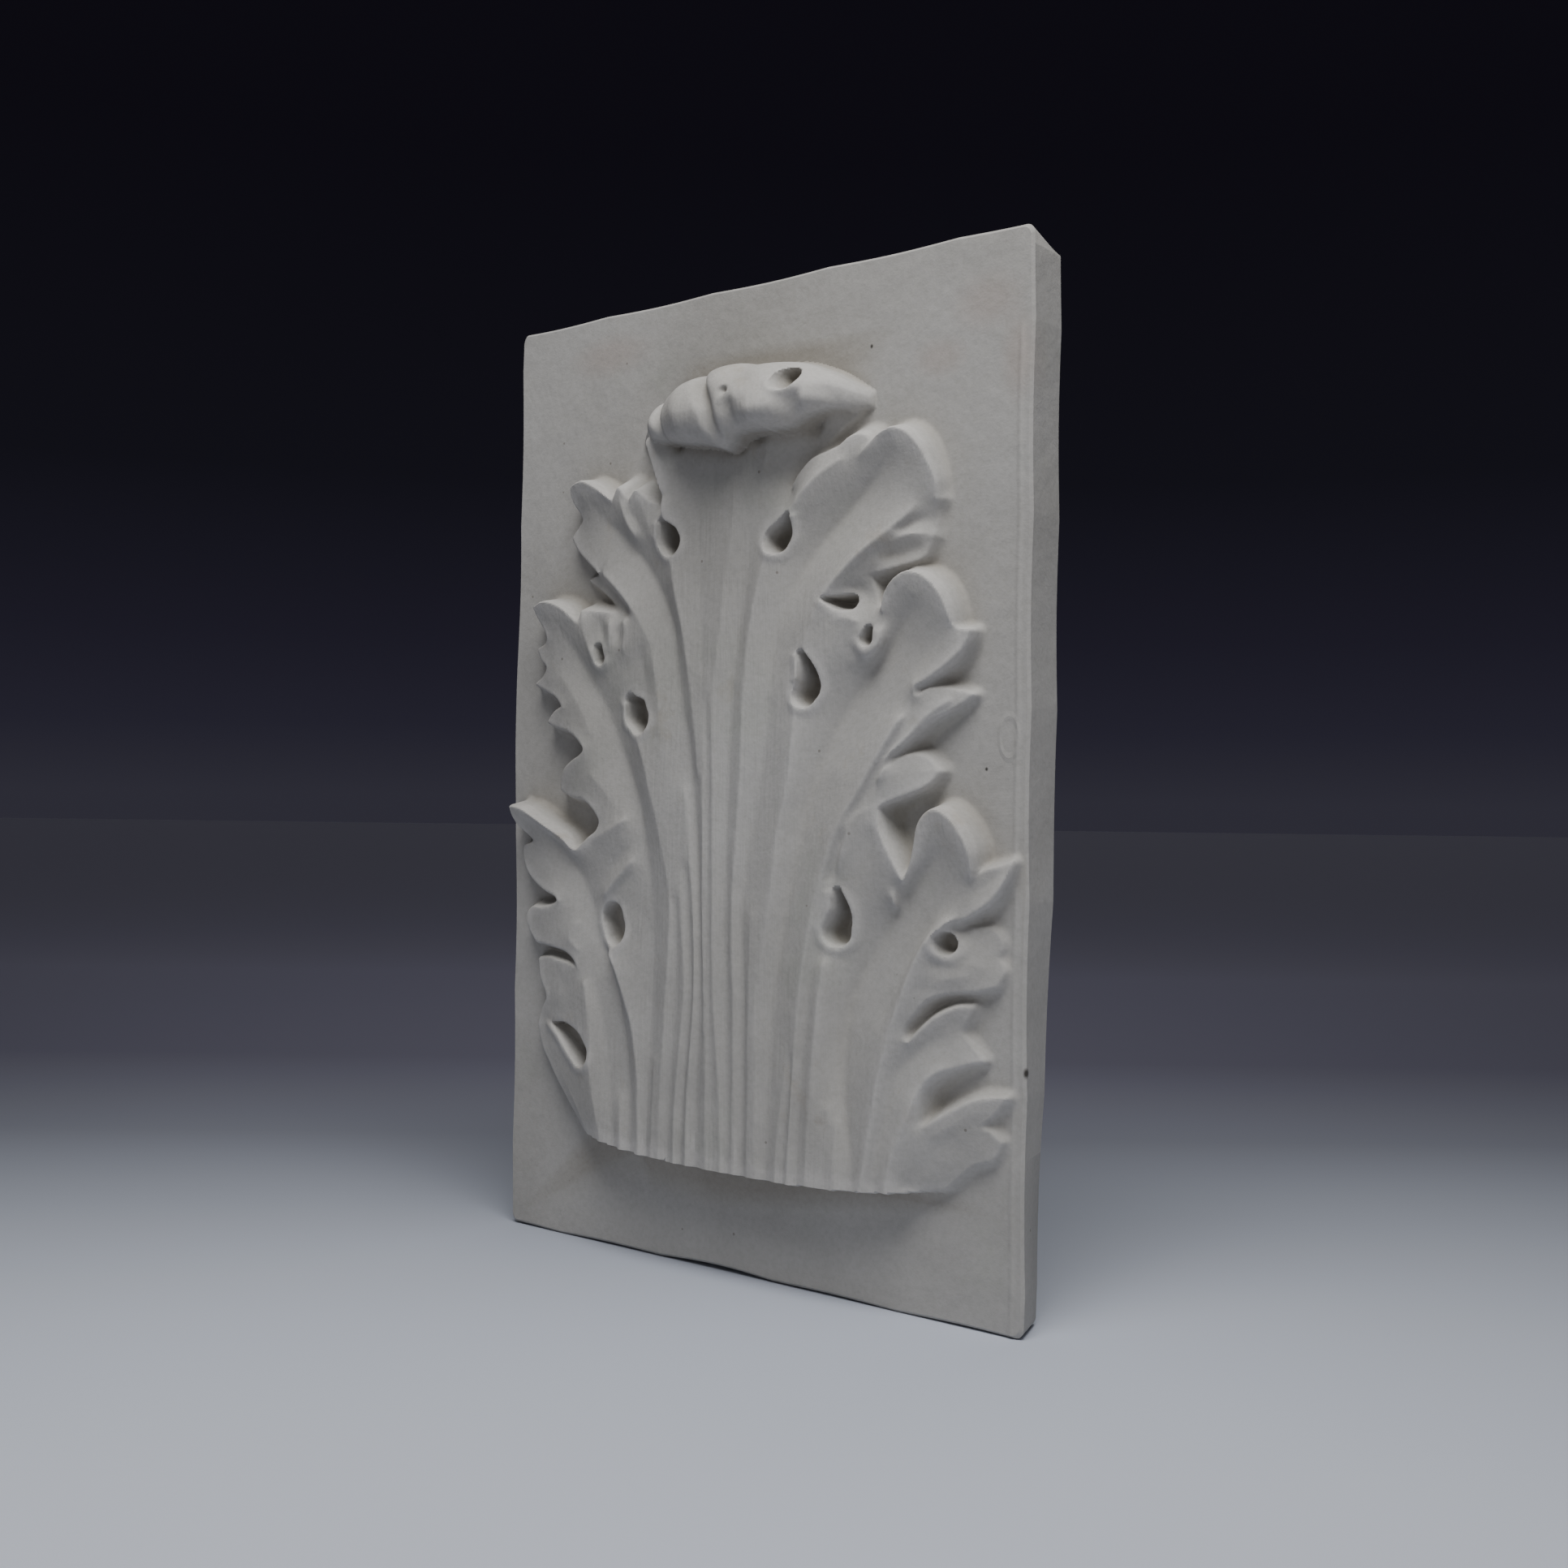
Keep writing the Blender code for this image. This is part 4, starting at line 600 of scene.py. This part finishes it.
LOWER_LEFT_LOBE = (
    [(-57.5, -190, 17), (-57.5, -168, 16.8), (-59, -150, 15)],
    [(-52, -190, 15.8), (-52, -165, 15.4), (-54.5, -140, 13.3), (-60, -116, 11.5), (-67, -97, 10),
     (-75.5, -78, 9.2), (-84, -61, 9), (-94, -45, 8.6), (-104, -35, 10.3), (-114, -27, 12.6),
     (-127, -19, 15)],
    [(-68, -83, 16), (-61.5, -92, 16.8), (-55, -105, 17.3), (-50.5, -115, 17.6), (-47.5, -128, 17.8),
     (-45.5, -145, 17.9), (-44.5, -190, 17.9)],
    [(-92, -70, 12), (-97, -78, 12.5), (-90, -84, 13)],
    [(-86, -98, 13.5), (-83, -112, 13.8), (-81, -128, 14), (-80, -142, 14.5), (-76, -158, 15),
     (-72, -172, 15), (-70, -190, 15)],
    [(-62, -190, 15.5), (-64, -165, 14.5), (-68, -140, 12.5), (-73, -118, 11.5), (-80, -98, 11)],
    [(-100, -100, 10.5), (-106, -108, 10), (-112, -116, 8)],
    [(-82, -176, 11), (-90, -163, 10.5), (-100, -150, 9), (-108, -140, 8)],
    [(-83, -31, 13), (-76, -28, 14.5), (-66, -24, 15.6), (-58, -20, 16)],
    [(-55, -31, 13.5), (-65, -40, 12), (-78, -53, 10.8)],
    [(-74, -57, 12.5), (-65, -48.5, 14), (-53, -39, 15.2)],
    [(-72, -60.5, 11), (-64, -52, 12), (-53, -45, 13.8)],
)


def drilled_holes(relief):
    # the six eyes between the lobes
    relief.hole([(36.5, 115, 1.5), (34, 109, 5), (31, 105, 6)])
    relief.hole([(-38, 119, 1.5), (-34, 112, 6), (-31.5, 108.5, 6)])
    relief.hole([(46, 54, 1.5), (49, 46, 4), (49.5, 40, 5.5), (47.5, 36, 5)])
    relief.hole([(-58, 36.5, 3.5), (-54.5, 31.5, 7.5), (-50.5, 27, 6.5)])
    relief.hole([(66, -48, 1.5), (67.5, -58, 4.5), (65.5, -66, 6)])
    relief.hole([(-69, -67, 8), (-67, -72, 8)])
    # smaller holes between leaflets
    relief.hole([(58, 77, 1), (64, 75.5, 3.3), (69, 75.5, 4)], floor=2.5, lip=0.3)
    relief.hole([(79.5, 63, 2.5), (78.5, 59, 3.5)], floor=4)
    relief.hole([(-79.5, 62, 2.5), (-78.5, 57, 3)])
    relief.hole([(118.5, -67, 4.8), (119, -68, 5)], floor=2.5)
    relief.hole([(-112, -121, 1.5), (-104, -123.5, 4.5), (-95, -128.5, 6.5), (-89, -133.5, 6)], floor=1)


def curl(relief):
    """The leaf's tip, rolled forward over the stem and parted into rounded fingers."""
    x, z = relief.across, relief.up
    # each row: x, top, height at the top's brow, crest, height at the crest, low edge, height there
    shape = smooth_rows([
        (-56, 163, 0, 160, 1, 158, 0),
        (-48, 168, 6, 160, 10, 156, 4),
        (-43, 171, 10, 160, 17, 155.5, 9),
        (-36, 175.5, 14, 161, 25, 154.5, 17),
        (-26, 180.5, 17, 162, 31, 153, 22),
        (-14, 184.5, 19, 162, 34, 150.5, 24),
        (-4, 186.5, 20, 162, 36, 149, 25),
        (4, 187.5, 20, 161, 37, 147, 25),
        (9, 187.5, 20, 162, 37, 145.5, 24),
        (13, 186.8, 19, 163, 37.5, 147.5, 25),
        (18, 186, 19, 164, 37.5, 151, 27),
        (26, 185.5, 18, 164, 36.5, 152, 27),
        (34, 184.8, 16, 163.5, 34, 151.5, 25),
        (42, 183, 14, 164, 31, 153, 21),
        (50, 180, 11, 166.5, 26, 157, 16),
        (58, 176.5, 8, 168.5, 18, 159.5, 11),
        (66, 171.5, 4, 166.5, 9, 159, 4),
        (73, 167, 0, 164, 2, 160, 0),
    ])
    top, brow, crest, height, low, lip = (np.interp(x, shape[:, 0], shape[:, k]) for k in range(1, 7))
    above = np.clip((z - crest) / (top - crest), 0, 1)
    below = np.clip((crest - z) / (crest - low), 0, 1)
    brow_roundness = 6
    top_roundness = 1.6
    under_roundness = 2.2
    upper = brow * np.sqrt(1 - above ** brow_roundness) + (height - brow) * (1 - above ** top_roundness)
    under = lip + (height - lip) * np.sqrt(1 - below ** under_roundness)
    roll = np.where(z > crest, upper, under)
    within = (z > low) & (z < top) & (x > shape[0, 0]) & (x < shape[-1, 0])
    relief.height = np.maximum(relief.height, np.where(within, roll, 0))
    # creases between the fingers
    relief.crease([(-46, 174, 2.4, -1), (-42.7, 167, 2.4, -3.5), (-44, 161, 2.4, -3.5), (-43, 153, 2.2, -2)])
    relief.crease([(-32, 184, 3, -1), (-30, 171.5, 3, -3.5), (-28.5, 164, 2.8, -4), (-27, 157, 2.6, -3.5),
                   (-26, 148, 2.5, -2)])
    relief.crease([(-12, 192, 3, -4), (-5.6, 179, 3.2, -5.5), (1, 171, 3.2, -5.5), (6.5, 164, 3.2, -4.5),
                   (8.5, 157, 3, -4), (10, 151.5, 3, -3.5), (12, 142, 3, -2)])
    relief.crease([(13, 192, 4, -1), (18.5, 181, 4.5, -2), (25, 174, 4.5, -1.5), (32, 167, 4, -0.5)], 0.3)
    # lumps on the fingers, and hollows between the lumps of the underside
    relief.crease([(-37, 178, 4, 1), (-36, 168, 4.5, 2), (-35, 160, 4.5, 2), (-35, 153, 4, 1)])
    relief.crease([(-20, 188, 6, 1.5), (-16, 172, 6, 2.2), (-12, 162, 6, 2), (-10, 150, 5, 1)])
    relief.crease([(0, 190, 6, 1.5), (8, 176, 7, 2), (17, 168, 6, 1)])
    relief.crease([(24, 157, 6, 2), (37, 157, 7.5, 4), (47, 159, 6, 2)], end_share=0.3)
    relief.crease([(48, 162, 5, 1), (54, 161, 6, 3), (62, 163, 5, 1)], end_share=0.3)
    relief.crease([(19, 170, 3.2, -1), (19.5, 162, 3.2, -2.5), (20, 155, 3.2, -3), (21, 145, 3.2, -2)], 0.35)
    relief.crease([(47, 171, 3.2, -1), (47.5, 164, 3.2, -2.2), (46.5, 157, 3.2, -3), (44, 146, 3, -2)], 0.35)
    relief.crease([(15, 171, 1.6, -1), (16.5, 168.5, 1.6, -3), (18, 166, 1.6, -1)], 0.4)
    relief.hole([(43, 173.5, 4.8), (43.6, 172.3, 4.8)], floor=10, lip=1.5)


def cut_base(relief):
    """The leaf is cut square at the foot, with a slightly bowed edge."""
    foot = LEAF_GRID_BASE + FOOT_BOW * (np.abs(relief.across - FOOT_MIDDLE) / FOOT_HALF_WIDTH) ** 3
    relief.height = np.where(relief.up < foot, 0, relief.height)


def leaf_relief(x, z):
    """The leaf's heights in grid units, over columns at x and rows at z."""
    relief = Relief(x, z)
    top = joined_arcs((67, 159, 3), [(3, [(40, 170, 10), (0, 172, 12), (-40, 168, 8), (-60, 160, 2)])])
    foot = joined_arcs((-84, -176, 9), [(3, [(-84, -190, 9)]), (3, [(104, -190, 4)]), (3, [(104, -176, 4)])])
    for _, rows in RIGHT_EDGE + LEFT_EDGE:
        relief.line(rows)
    for lines in (STEM, UPPER_RIGHT_LOBE, MIDDLE_RIGHT_LOBE, LOWER_RIGHT_LOBE,
                  UPPER_LEFT_LOBE, MIDDLE_LEFT_LOBE, LOWER_LEFT_LOBE):
        for rows in lines:
            relief.line(rows)
    relief.stretch()
    relief.cut_out(RIGHT_EDGE + top + LEFT_EDGE + foot)
    relief.round_hollows(HOLLOW_ROUNDING)
    drilled_holes(relief)
    curl(relief)
    cut_base(relief)
    return relief.softened(CAST_SOFTNESS)


def corner_rounding(x, z, radius):
    """A true rectangle's points with its corners drawn in to a radius."""
    inner_x = SLAB_WIDTH / 2 - radius
    inner_z = SLAB_HEIGHT / 2 - radius
    over_x = np.maximum(np.abs(x) - inner_x, 0)
    over_z = np.maximum(np.abs(z) - inner_z, 0)
    far = np.maximum(np.hypot(over_x, over_z), 1e-9)
    pull = np.maximum(over_x, over_z) / far
    new_x = np.minimum(np.abs(x), inner_x) + over_x * pull
    new_z = np.minimum(np.abs(z), inner_z) + over_z * pull
    return np.sign(x) * new_x, np.sign(z) * new_z


def slab_outline(x, z):
    """Where a point of a true rectangle lies on the cast slab: soft corners and slightly worn edges."""
    share_x = x / (SLAB_WIDTH / 2)
    share_z = z / (SLAB_HEIGHT / 2)
    new_x, new_z = corner_rounding(x, z, CORNER_RADIUS)
    wave_x = EDGE_WAVE * np.abs(np.sin(SIDE_WAVES * share_z + 2 * np.sign(x)))
    wave_z = EDGE_WAVE * np.abs(np.sin(END_WAVES * share_x + np.sign(z)))
    bulge = np.exp(-((share_z - LEFT_BULGE_PLACE) / WORN_REACH) ** 2)
    wear = FOOT_WEAR * np.exp(-((share_x - FOOT_WEAR_PLACE) / WORN_REACH) ** 2)
    inset_x = np.where(x < 0, (LEFT_BULGE + wave_x) * (1 - bulge), wave_x)
    inset_z = np.where(z < 0, wave_z + wear, wave_z)
    side = np.abs(share_x) ** EDGE_GRIP
    end = np.abs(share_z) ** EDGE_GRIP
    return new_x - side * inset_x * np.sign(x), new_z - end * inset_z * np.sign(z)


def worn_back(rim):
    """Where the rim lies at the back: the right side slopes in and one corner is knocked off."""
    share_x = rim[:, 0] / (SLAB_WIDTH / 2)
    share_z = rim[:, 2] / (SLAB_HEIGHT / 2)
    x = rim[:, 0] - BACK_TAPER * ease(-share_z) * np.maximum(share_x, 0) ** TAPER_GRIP
    beyond = np.maximum(x + rim[:, 2] - (SLAB_WIDTH + SLAB_HEIGHT) / 2 + BACK_CORNER, 0)
    return np.stack([x - beyond / 2, rim[:, 1], rim[:, 2] - beyond / 2], axis=1)


def quads(first, second):
    """Quads between two closed rings of vertex numbers."""
    return np.stack([first, np.roll(first, -1), np.roll(second, -1), second], axis=1)


def fill_mesh(data, points, faces):
    """Puts points and four-cornered faces into an empty mesh."""
    data.vertices.add(len(points))
    data.vertices.foreach_set("co", points.astype(np.float32).ravel())
    data.loops.add(faces.size)
    data.loops.foreach_set("vertex_index", faces.astype(np.int32).ravel())
    data.polygons.add(len(faces))
    data.polygons.foreach_set("loop_start", np.arange(0, faces.size, 4, dtype=np.int32))
    data.update(calc_edges=True)


def front_points():
    """The slab's front on a fine grid: each place, and how far the carving stands out there."""
    columns = round(SLAB_WIDTH / GRID_STEP) + 1
    rows = round(SLAB_HEIGHT / GRID_STEP) + 1
    x = np.linspace(-SLAB_WIDTH / 2, SLAB_WIDTH / 2, columns)
    z = np.linspace(-SLAB_HEIGHT / 2, SLAB_HEIGHT / 2, rows)
    unit = LEAF_HEIGHT / LEAF_GRID_HEIGHT
    leaf_foot = LEAF_BASE_ABOVE_BOTTOM - SLAB_HEIGHT / 2
    height = leaf_relief(x / unit, (z - leaf_foot) / unit + LEAF_GRID_BASE) * unit
    across, up = np.meshgrid(x, z)
    height *= np.clip((SLAB_WIDTH / 2 - np.abs(across)) / RIM_FADE, 0, 1)
    arris = np.exp(-((across - ARRIS_X) / ARRIS_WIDTH) ** 2)
    height += ARRIS_HEIGHT * arris * ease((ARRIS_TOP - up) / ARRIS_FADE)
    place_x, place_z = slab_outline(across, up)
    place_x = place_x * (1 - 2 * FRONT_EDGE_ROUND / SLAB_WIDTH)
    place_z = place_z * (1 - 2 * FRONT_EDGE_ROUND / SLAB_HEIGHT)
    return np.stack([place_x, -SLAB_THICKNESS - height, place_z], axis=2), height


def hollowness(height):
    """How far each place lies below its surroundings, in metres; negative on edges that stand out."""
    return blurred(height, HOLLOW_SWEEPS) - height


def write_attribute(data, name, front_values, count):
    """A value on each vertex of the front, and zero on the rim and the back."""
    values = np.zeros(count, np.float32)
    values[:front_values.size] = front_values.ravel()
    data.attributes.new(name, "FLOAT", "POINT").data.foreach_set("value", values)


def rim_numbers(rows, columns):
    """The grid's edge vertices in order, once around."""
    number = np.arange(rows * columns).reshape(rows, columns)
    return np.concatenate([number[0, :-1], number[:-1, -1], number[-1, :0:-1], number[:0:-1, 0]])


def panel_mesh():
    """One mesh: carved front, rounded front edge and sides, open at the back for close_back to fill."""
    front, height = front_points()
    rows, columns = height.shape
    number = np.arange(rows * columns).reshape(rows, columns)
    front_faces = np.stack([number[:-1, :-1], number[:-1, 1:], number[1:, 1:], number[1:, :-1]], axis=2)
    points = [front.reshape(-1, 3)]
    faces = [front_faces.reshape(-1, 4)]
    ring = rim_numbers(rows, columns)
    edge = points[0][ring]
    count = rows * columns
    for depth, inset, worn in ((SLAB_THICKNESS - FRONT_EDGE_ROUND, -FRONT_EDGE_ROUND, False),
                               (BACK_EDGE_ROUND, 0, True),
                               (0, BACK_EDGE_ROUND, False)):
        edge = edge * (1 - inset / (SLAB_WIDTH / 2), 0, 1 - inset / (SLAB_HEIGHT / 2))
        edge[:, 1] = -depth
        if worn:
            edge = worn_back(edge)
        points.append(edge)
        next_ring = np.arange(count, count + len(ring))
        faces.append(quads(ring, next_ring)[:, ::-1])
        ring = next_ring
        count += len(ring)
    data = bpy.data.meshes.new("relief_panel")
    points = np.concatenate(points)
    fill_mesh(data, points, np.concatenate(faces))
    write_attribute(data, "raised", height, len(points))
    write_attribute(data, "hollow", hollowness(height), len(points))
    return data


def close_back(data):
    """Fills the open back with one flat face."""
    mesh = bmesh.new()
    mesh.from_mesh(data)
    rim = [edge for edge in mesh.edges if edge.is_boundary]
    bmesh.ops.holes_fill(mesh, edges=rim, sides=0)
    bmesh.ops.recalc_face_normals(mesh, faces=mesh.faces)
    mesh.to_mesh(data)
    mesh.free()


def thin_out(panel):
    """Collapses the dense grid to the triangles that the carving needs, for good."""
    fewer = panel.modifiers.new("Fewer triangles", "DECIMATE")
    fewer.decimate_type = "COLLAPSE"
    panel.data.calc_loop_triangles()
    fewer.ratio = TRIANGLES / len(panel.data.loop_triangles)
    graph = bpy.context.evaluated_depsgraph_get()
    thin = bpy.data.meshes.new_from_object(panel.evaluated_get(graph))
    panel.modifiers.clear()
    panel.data = thin


def add_object(name, data, place=(0, 0, 0)):
    added = bpy.data.objects.new(name, data)
    added.location = place
    bpy.context.scene.collection.objects.link(added)
    return added


def relief_panel():
    """The dressed slab and leaf. Faces in the slab's plane are shaded flat."""
    data = panel_mesh()
    close_back(data)
    panel = add_object("plaster_relief_panel", data)
    thin_out(panel)
    panel.data.shade_smooth()
    panel.data.set_sharp_from_angle(angle=np.radians(SHARP_DEGREES))
    for face in panel.data.polygons:
        face.use_smooth = abs(face.normal.y) < FLAT
    return panel


def fill_ramp(ramp, stops):
    """Puts a row of places and colours on a colour ramp."""
    points = ramp.elements
    while len(points) < len(stops):
        points.new(0.5)
    for point, (position, colour) in zip(points, stops):
        point.position = position
        point.color = (*colour, 1.0)


class Nodes:
    """A short way to add and link the nodes of one material."""

    def __init__(self, name):
        self.material = bpy.data.materials.new(name)
        self.material.use_nodes = True
        self.tree = self.material.node_tree
        self.shader = self.tree.nodes["Principled BSDF"]

    def add(self, kind, values=None, **settings):
        node = self.tree.nodes.new(kind)
        for name, value in settings.items():
            setattr(node, name, value)
        for name, value in (values or {}).items():
            node.inputs[name].default_value = value
        return node

    def link(self, start, end):
        self.tree.links.new(start, end)

    def feed(self, value, socket):
        """Links an output to a socket, or sets a plain value on it."""
        if isinstance(value, bpy.types.NodeSocket):
            self.link(value, socket)
        else:
            socket.default_value = value

    def noise(self, place, scale, detail=4.0, roughness=0.55):
        node = self.add("ShaderNodeTexNoise", {"Scale": scale, "Detail": detail, "Roughness": roughness})
        self.link(place, node.inputs["Vector"])
        return node.outputs["Fac"]

    def ramp(self, value, stops):
        node = self.add("ShaderNodeValToRGB")
        fill_ramp(node.color_ramp, stops)
        self.link(value, node.inputs["Fac"])
        return node.outputs["Color"]

    def tinted(self, colour, share, tint):
        """The colour multiplied by a tint, as far as the share says."""
        node = self.add("ShaderNodeMix", data_type="RGBA", blend_type="MULTIPLY")
        factor, first, second = node.inputs[0], node.inputs[6], node.inputs[7]
        self.feed(share, factor)
        self.feed(colour, first)
        self.feed(tint, second)
        return node.outputs[2]

    def attribute(self, name):
        return self.add("ShaderNodeAttribute", attribute_name=name).outputs["Fac"]

    def share(self, value, low, high):
        """0 at the low value to 1 at the high one."""
        node = self.add("ShaderNodeMapRange", {"From Min": low, "From Max": high})
        self.link(value, node.inputs["Value"])
        return node.outputs["Result"]

    def product(self, first, second):
        node = self.add("ShaderNodeMath", operation="MULTIPLY")
        self.feed(first, node.inputs[0])
        self.feed(second, node.inputs[1])
        return node.outputs["Value"]

    def vector(self, operation, place, amount):
        node = self.add("ShaderNodeVectorMath", operation=operation)
        self.link(place, node.inputs[0])
        node.inputs[1].default_value = amount
        return node.outputs["Vector"]

    def moved(self, place, amount):
        return self.vector("ADD", place, amount)

    def scaled(self, place, amount):
        return self.vector("MULTIPLY", place, amount)

    def away(self, place, centre, size):
        """How far a place is from the centre of a soft ellipsoid, in its own radii."""
        offset = self.moved(place, [-value for value in centre])
        offset = self.scaled(offset, [1 / value for value in size])
        node = self.add("ShaderNodeVectorMath", operation="LENGTH")
        self.link(offset, node.inputs[0])
        return node.outputs["Value"]

    def spot(self, place, centre, size):
        """1 in the middle of the ellipsoid, fading to 0 at its edge."""
        return self.share(self.away(place, centre, size), 1.0, 0.35)

    def ring(self, place, centre, size):
        """1 along the ellipsoid's edge, fading to 0 a quarter of its size to both sides."""
        away = self.away(place, centre, size)
        return self.product(self.share(away, 0.75, 1.0), self.share(away, 1.25, 1.0))

    def red(self, colour):
        node = self.add("ShaderNodeSeparateColor")
        self.link(colour, node.inputs["Color"])
        return node.outputs["Red"]

    def bump(self, height, strength, distance, after=None):
        node = self.add("ShaderNodeBump", {"Strength": strength, "Distance": distance})
        self.link(height, node.inputs["Height"])
        if after:
            self.link(after, node.inputs["Normal"])
        return node.outputs["Normal"]


def plaster():
    """Old cast plaster: warm grey, mottled, with small stains, pits and pinholes darkened with painted shade,
    painted shade with dust in the hollows, a painted highlight with wear on the crests, tool marks and a fine
    dry grain.
    """
    nodes = Nodes("cast_plaster")
    place = nodes.add("ShaderNodeTexCoord").outputs["Object"]
    hollow = nodes.attribute("hollow")
    raised = nodes.attribute("raised")
    colour = plaster_colour(nodes, place, hollow, raised)
    nodes.link(colour, nodes.shader.inputs["Base Color"])
    nodes.shader.inputs["Roughness"].default_value = PLASTER_ROUGHNESS
    nodes.shader.inputs["Specular IOR Level"].default_value = PLASTER_GLOSS
    nodes.link(plaster_surface(nodes, place, raised), nodes.shader.inputs["Normal"])
    return nodes.material


def plaster_colour(nodes, place, hollow, raised):
    colour = nodes.ramp(nodes.noise(place, scale=7, detail=7, roughness=0.6), PLASTER_TONES)
    # dust and painted shade darken the hollows; rubbed wear and a painted highlight pale the edges that stand
    # out
    colour = nodes.tinted(colour, nodes.share(hollow, *DUST_AND_SHADE_DEPTHS), DUST_AND_SHADE_TINT)
    colour = nodes.tinted(colour, nodes.share(hollow, *RUBBED_AND_HIGHLIGHT_DEPTHS), RUBBED_AND_HIGHLIGHT_TINT)
    # brown stains on the carving, greenish ones all over
    stain = nodes.share(nodes.noise(place, scale=38, detail=6, roughness=0.65), low=0.60, high=0.74)
    carved = nodes.share(raised, *STAINED_HEIGHTS)
    colour = nodes.tinted(colour, nodes.product(stain, carved), STAIN_TINT)
    elsewhere = nodes.moved(place, (3, 1, 2))
    bloom = nodes.share(nodes.noise(elsewhere, scale=14, detail=5, roughness=0.6), low=0.58, high=0.75)
    colour = nodes.tinted(colour, nodes.product(bloom, BLOOM_STRENGTH), BLOOM_TINT)
    for centre, size in PINK_BLOTCHES:
        blotch = nodes.product(nodes.spot(place, centre, size), PINK_STRENGTH)
        colour = nodes.tinted(colour, blotch, PINK_TINT)
    # small pits, painted dark as the shade inside them
    for centre, size in PAINTED_SHADE_PITS:
        colour = nodes.tinted(colour, nodes.spot(place, centre, size), PIT_SHADE_TINT)
    # fine speckle, and small pinholes darkened with painted shade
    speckle = nodes.ramp(nodes.noise(place, scale=480, detail=3), SPECKLE_TONES)
    colour = nodes.tinted(colour, 1.0, speckle)
    return nodes.tinted(colour, pinholes(nodes, place), PINHOLE_SHADE_TINT)


def pinholes(nodes, place):
    """Small air holes, in about one cell in eight of a scattered pattern."""
    cells = nodes.add("ShaderNodeTexVoronoi", {"Scale": PINHOLE_CELLS})
    nodes.link(place, cells.inputs["Vector"])
    near = nodes.share(cells.outputs["Distance"], *PINHOLE_EDGE)
    chosen = nodes.share(nodes.red(cells.outputs["Color"]), *PINHOLES_CHOSEN)
    return nodes.product(near, chosen)


def plaster_surface(nodes, place, raised):
    """Fine grain, soft unevenness, the streaks of the modelling tools, pinholes and the oval ring."""
    surface = None
    for scale, detail, strength, distance in UNEVENNESS:
        surface = nodes.bump(nodes.noise(place, scale, detail), strength, distance, surface)
    streaks = nodes.noise(nodes.scaled(place, STREAK_STRETCH), scale=520, detail=3)
    streaks = nodes.product(streaks, nodes.share(raised, *STREAKED_HEIGHTS))
    surface = nodes.bump(streaks, strength=0.35, distance=0.0009, after=surface)
    surface = nodes.bump(pinholes(nodes, place), strength=-0.6, distance=0.0006, after=surface)
    ring = nodes.ring(place, RING_CENTRE, RING_SIZE)
    return nodes.bump(ring, strength=0.35, distance=0.0006, after=surface)


def floor():
    """A pale floor that the slab stands on, with painted light and shade: pale toward the camera, darker
    further back along the view.
    """
    mesh = bmesh.new()
    bmesh.ops.create_grid(mesh, x_segments=1, y_segments=1, size=FLOOR_SIZE)
    data = bpy.data.meshes.new("floor")
    mesh.to_mesh(data)
    mesh.free()
    ground = add_object("floor", data, (0, 0, -SLAB_HEIGHT / 2))
    ground.rotation_euler = (0, 0, np.radians(CAMERA_TURN[2]))
    nodes = Nodes("pale_floor_painted_shade")
    place = nodes.add("ShaderNodeTexCoord").outputs["Object"]
    parts = nodes.add("ShaderNodeSeparateXYZ")
    nodes.link(place, parts.inputs["Vector"])
    # painted light and shade: the floor's colour darkens along the view direction, away from the camera
    colour = nodes.ramp(nodes.share(parts.outputs["Y"], *FLOOR_PAINTED_SHADE_SPAN), FLOOR_PAINTED_SHADE_TONES)
    nodes.link(colour, nodes.shader.inputs["Base Color"])
    nodes.shader.inputs["Roughness"].default_value = FLOOR_ROUGHNESS
    nodes.shader.inputs["Specular IOR Level"].default_value = FLOOR_GLOSS
    data.materials.append(nodes.material)


def key_light():
    data = bpy.data.lights.new("key", "AREA")
    data.shape = "RECTANGLE"
    data.size, data.size_y = KEY_SIZE
    data.energy = KEY_POWER
    data.spread = np.radians(KEY_SPREAD)
    lamp = add_object("key", data, KEY_PLACE)
    lamp.rotation_euler = (Vector(KEY_AIM) - Vector(KEY_PLACE)).to_track_quat("-Z", "Y").to_euler()


def sun(name, direction, strength):
    data = bpy.data.lights.new(name, "SUN")
    data.energy = strength
    data.angle = np.radians(SUN_WIDTH)
    lamp = add_object(name, data)
    lamp.rotation_euler = Vector(direction).to_track_quat("Z", "Y").to_euler()


def lights():
    key_light()
    for name, direction, strength in SUNS:
        sun(name, direction, strength)


def world():
    """A dark backdrop that grows darker upwards from the floor."""
    backdrop = bpy.data.worlds.new("studio")
    backdrop.use_nodes = True
    tree = backdrop.node_tree
    place = tree.nodes.new("ShaderNodeTexCoord")
    parts = tree.nodes.new("ShaderNodeSeparateXYZ")
    ramp = tree.nodes.new("ShaderNodeValToRGB")
    fill_ramp(ramp.color_ramp, BACKDROP)
    tree.links.new(place.outputs["Generated"], parts.inputs["Vector"])
    tree.links.new(parts.outputs["Z"], ramp.inputs["Fac"])
    tree.links.new(ramp.outputs["Color"], tree.nodes["Background"].inputs["Color"])
    bpy.context.scene.world = backdrop


def camera():
    data = bpy.data.cameras.new("camera")
    data.sensor_width = SENSOR
    data.lens = LENS
    data.clip_start = CLIP_START
    view = add_object("camera", data, CAMERA_PLACE)
    view.rotation_euler = [np.radians(turn) for turn in CAMERA_TURN]
    bpy.context.scene.camera = view


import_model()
camera()
panel = relief_panel()
panel.data.materials.clear()
panel.data.materials.append(plaster())
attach(panel, BODY)
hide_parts(NODE)
floor()
lights()
world()
